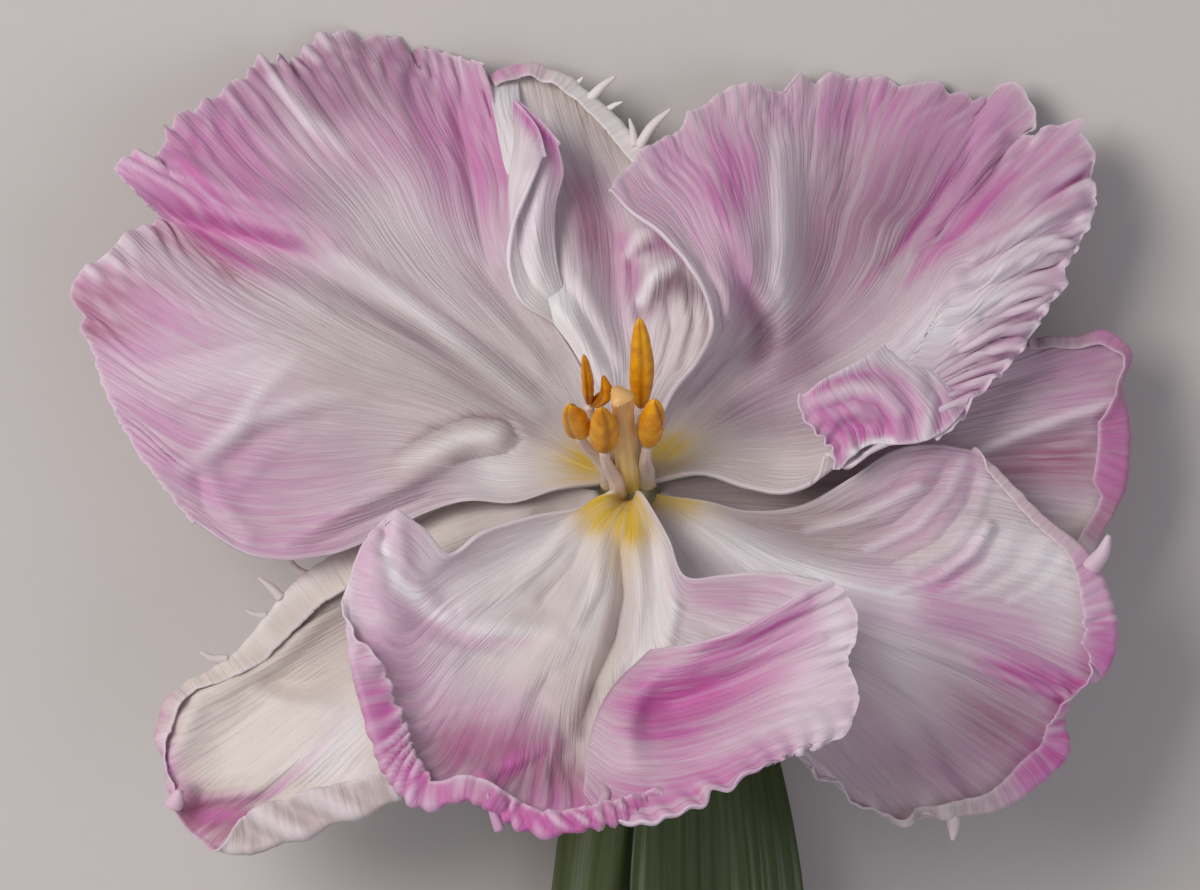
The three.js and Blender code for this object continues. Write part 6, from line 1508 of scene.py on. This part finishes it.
def stemLine():
    tilt = math.radians(flower["bloomTilt"])
    start = onBloom(0, 0, -stemSizes["neck"])
    line = [onBloom(0, 0, -stemSizes["gap"]), start]
    for heading in (45, 30, 15, 0):
        rise = math.radians(heading)
        advance = stemSizes["bendRadius"] * (math.cos(tilt) - math.sin(rise))
        drop = stemSizes["bendRadius"] * (math.cos(rise) - math.sin(tilt))
        line.append([-advance * stemSizes["bendAside"], start[1] - advance, start[2] - drop])
    return line + [[x, y, -stemSizes["restHeight"]] for x, y in stemSizes["lying"]]


# Fresh tulip green: smooth waxy skin with fine lengthwise lines and a pale bloom in broad drifts
def greenMaterial(name, finish):
    material, tree = newMaterial(name)
    width, length = finish["line"]
    fine = veinNoise(tree, (width, length), 0.34, 0.66)
    broad = veinNoise(tree, (width * 5, length * 2), 0.34, 0.66)
    lines = {0: fine, 6: linear(finish["dark"]), 7: linear(finish["light"])}
    colour = addNode(tree, "Mix", lines, data_type="RGBA")
    faint = addNode(tree, "Math", {0: broad, 1: 0.4}, operation="MULTIPLY")
    drift = {0: faint.outputs[0], 6: colour.outputs[2], 7: linear(finish["drift"])}
    drifted = addNode(tree, "Mix", drift, data_type="RGBA")
    # The first millimetres, where the floral pieces meet, are paler and yellower
    along = addNode(tree, "UVMap", uv_map="veins")
    split = addNode(tree, "SeparateXYZ", {0: along.outputs["UV"]})
    far = addNode(tree, "MapRange", {"Value": split.outputs["Y"], 1: 20.0, 2: 45.0})
    started = {0: far.outputs[0], 6: linear(finish["start"]), 7: drifted.outputs[2]}
    whole = addNode(tree, "Mix", started, data_type="RGBA")
    bump = addNode(tree, "Bump", {"Height": fine, "Strength": 0.4, "Distance": 0.0001})
    finishMaterial(tree, {
        "Base Color": whole.outputs[2],
        "Roughness": finish["roughness"],
        "Specular IOR Level": 0.4,
        "Subsurface Weight": 0.1,
        "Subsurface Scale": 0.001,
        "Normal": bump.outputs["Normal"],
    })
    return material


def addStem():
    line = stemLine()
    top, usual = stemSizes["receptacleRadius"], stemSizes["radius"]

    def path(t):
        return curveThrough(line, t ** stemSizes["ringPower"])

    # The radius grows from the receptacle over its height, and the stem is slightly thinner in the middle
    def widths(t):
        along = t ** stemSizes["ringPower"]
        shoulder = np.minimum(1, along * stemSizes["length"] / stemSizes["receptacleHeight"])
        waist = (stemSizes["middleRadius"] - usual) * np.sin(np.pi * along)
        radius = top + (usual - top) * shoulder**1.4
        return radius + waist, radius + waist

    # Faint ribs that twist slowly, and soft unevenness
    def shape(t, angle):
        ribs = stemSizes["ribRelief"] * np.cos(stemSizes["ribs"] * angle + 3 * t)
        uneven = latticeNoise(5, 2 * np.cos(angle) + 14 * t, 2 * np.sin(angle))
        return 1 + (ribs + stemSizes["unevenness"] * uneven)

    vertices, quads, ends, maps = bodyAlong(path, widths, 260, 72, shape)
    maps = maps * np.array([2 * np.pi * usual, stemSizes["length"]])
    skin = greenMaterial("stemSkin", stemFinish)
    addPiece("stemSkinned", (vertices, quads, ends, maps), {}, skin, "stem")


addStem()


# A point beside the stem where a leaf clasps it
def around(x, y, radius, degrees):
    angle = math.radians(degrees)
    return [x + radius * math.cos(angle), y, -stemSizes["restHeight"] + radius * math.sin(angle)]


# The two leaves, in the same terms as the petals. ribs says how many veins stand up across the blade.
leafSizes = {
    "ribHeight": 0.14,
    "ribWidth": 14,  # the ribs are lower where the blade is narrower than this
    "edgeThickness": 0.35,
    "bodyThickness": 0.5,  # how much thicker the middle is
    "edgeFade": 2,  # millimetres inwards over which the blade thickens
    "mapWidth": 24,  # the blade's usual width, by which its lines are spaced
}
upperLeaf = {
    "left": [around(-9.9, -128, 5.8, 118), [-8.4, -122, -11], [-3.6, -110, -10.4], [0.6, -90, -11],
        [0.6, -66, -11.8], [0.4, -45, -12.4], [3.6, -25, -13.4], [9, -13, -15.4]],
    "foot": [around(-9.9, -128, 5.8, 75), around(-9.9, -128, 5.8, 30), around(-9.9, -128, 5.8, -10)],
    "right": [around(-9.9, -128, 5.8, -45), [-2, -122, -20.4], [7.6, -110, -18.6], [17.4, -90, -15],
        [21.6, -66, -13.6], [20, -42, -14.4], [15.4, -24, -16], [10.8, -13, -16.6]],
    "rim": [[10.2, -12.6, -16.4]],
    "ridges": [(6, -2, -120, -1.5, 6, -100, -4, 11, -75, -4.6, 11.6, -50, -3.6, 10.4, -26, -1.6)],
    "grid": (60, 110),
    "stripRows": 4,
    "seed": 301,
    "ribs": 11,
    "pleat": 0.05,
    "teeth": [[0, 0], [1, 0]],
}
lowerLeaf = {
    "left": [around(-6.7, -226, 6.1, -135), [-15, -216, -19.6], [-27, -196, -16.4], [-37, -168, -13.4],
        [-40, -138, -13], [-37, -108, -14.6], [-30, -84, -17.4], [-24.4, -70, -19]],
    "foot": [around(-6.7, -226, 6.1, 170), around(-6.7, -226, 5.9, 110)],
    "right": [around(-6.7, -226, 6.1, 60), [-8.6, -216, -10.6], [-12.6, -198, -9.6], [-17, -170, -11],
        [-18, -140, -12.4], [-17.6, -108, -14.6], [-19, -86, -17.4], [-22.8, -70, -19.4]],
    "rim": [[-23.6, -69.2, -19.3]],
    "ridges": [(7, -14, -206, -1, -22, -186, -4, -28, -150, -5, -27, -110, -3.6, -24.5, -84, -1)],
    "grid": (60, 110),
    "stripRows": 4,
    "seed": 311,
    "ribs": 13,
    "pleat": 0.05,
    "teeth": [[0, 0], [1, 0]],
}


# A leaf's blade: its sheet with cosine ribs along its normals, and a wall that thins towards its edges
def addLeaf(name, net, node, material):
    points, toRim, _, share, _ = finishedSheet(net)
    acrossRow = walked(points, 1)
    width = acrossRow[:, -1:]
    ribs = leafSizes["ribHeight"] * np.cos(2 * np.pi * acrossRow / width * net["ribs"])
    ribs = ribs * np.clip(width / leafSizes["ribWidth"], 0, 1)
    points = points + sheetNormals(points) * ribs[..., None]
    edge = np.minimum(toRim, np.minimum(acrossRow, width - acrossRow))
    inner = 1 - np.exp(-edge / leafSizes["edgeFade"])
    thickness = leafSizes["edgeThickness"] + leafSizes["bodyThickness"] * inner
    shape = wallWithMap(points, thickness, acrossRow / width * leafSizes["mapWidth"], share)
    addPiece(name, shape, {}, material, node)


blade = greenMaterial("leafBlade", leafFinish)
addLeaf("upperLeafBlade", upperLeaf, "upper_leaf", blade)
addLeaf("lowerLeafBlade", lowerLeaf, "lower_leaf", blade)
print("stem and leaves made")


# The plain pale floor, the studio light and the camera straight above the bloom, in metres but for the aim
studio = {
    "floor": 3.0,  # from side to side
    "floorColour": "cfcac7",
    "paperGrain": 0.002,
    "air": "dcdde2",
    "airStrength": 0.33,
    "cameraHeight": 1.2,  # above the receptacle
    "lens": 306,
    "sensor": 36,
    "aimFromReceptacle": (-3.29, 4.59),  # millimetres aside and up to the middle of the picture
}
lights = {  # place from the bloom, size, watts, colour
    "keyLight": ((-0.5, 0.22, 0.68), 0.5, 5.2, "fffaf7"),
    "fillLight": ((0.7, -0.5, 0.8), 0.9, 2.5, "f4f2ff"),
}


# Plain matt paper with a faint grain
def addFloor():
    half = studio["floor"] / 2
    mesh = bpy.data.meshes.new("floor")
    corners = [(-half, -half, 0), (half, -half, 0), (half, half, 0), (-half, half, 0)]
    mesh.from_pydata(corners, [], [(0, 1, 2, 3)])
    material, tree = newMaterial("palePaper")
    place = addNode(tree, "TexCoord").outputs["Object"]
    noise = addNode(tree, "TexNoise", {"Vector": place, "Scale": 1 / studio["paperGrain"], "Detail": 3.0})
    tint = addNode(tree, "MapRange", {"Value": noise.outputs[0], 3: 0.97, 4: 1.0})
    tone = {0: 1.0, 6: linear(studio["floorColour"]), 7: tint.outputs[0]}
    colour = addNode(tree, "Mix", tone, data_type="RGBA", blend_type="MULTIPLY")
    finishMaterial(tree, {"Base Color": colour.outputs[2], "Roughness": 0.9})
    mesh.materials.append(material)
    floor = bpy.data.objects.new("floor", mesh)
    bpy.context.collection.objects.link(floor)


def addLight(name, bloom, offset, size, watts, colour):
    light = bpy.data.lights.new(name, "AREA")
    light.size = size
    light.energy = watts
    light.color = linear(colour)[:3]
    lamp = bpy.data.objects.new(name, light)
    bpy.context.collection.objects.link(lamp)
    place = [middle + step for middle, step in zip(bloom, offset)]
    lamp.location = place
    x, y, z = np.array(bloom) - np.array(place)
    lamp.rotation_euler = (math.atan2(math.hypot(x, y), -z), 0, math.atan2(y, x) - math.pi / 2)


def addCamera(bloom):
    camera = bpy.data.cameras.new("camera")
    camera.lens = studio["lens"]
    camera.sensor_width = studio["sensor"]
    camera.clip_end = 20
    eye = bpy.data.objects.new("camera", camera)
    aside, up = [c * millimetre for c in studio["aimFromReceptacle"]]
    eye.location = (bloom[0] + aside, bloom[1] + up, bloom[2] + studio["cameraHeight"])
    bpy.context.collection.objects.link(eye)
    bpy.context.scene.camera = eye


def addStudio():
    bloom = [c * millimetre for c in flower["receptacle"]]
    addFloor()
    for name, light in lights.items():
        addLight(name, bloom, *light)
    world = bpy.data.worlds.new("studioAir")
    world.use_nodes = True
    background = world.node_tree.nodes["Background"]
    background.inputs["Color"].default_value = linear(studio["air"])
    background.inputs["Strength"].default_value = studio["airStrength"]
    bpy.context.scene.world = world
    bpy.context.scene.view_settings.view_transform = "Standard"
    addCamera(bloom)


addStudio()
print("studio made")
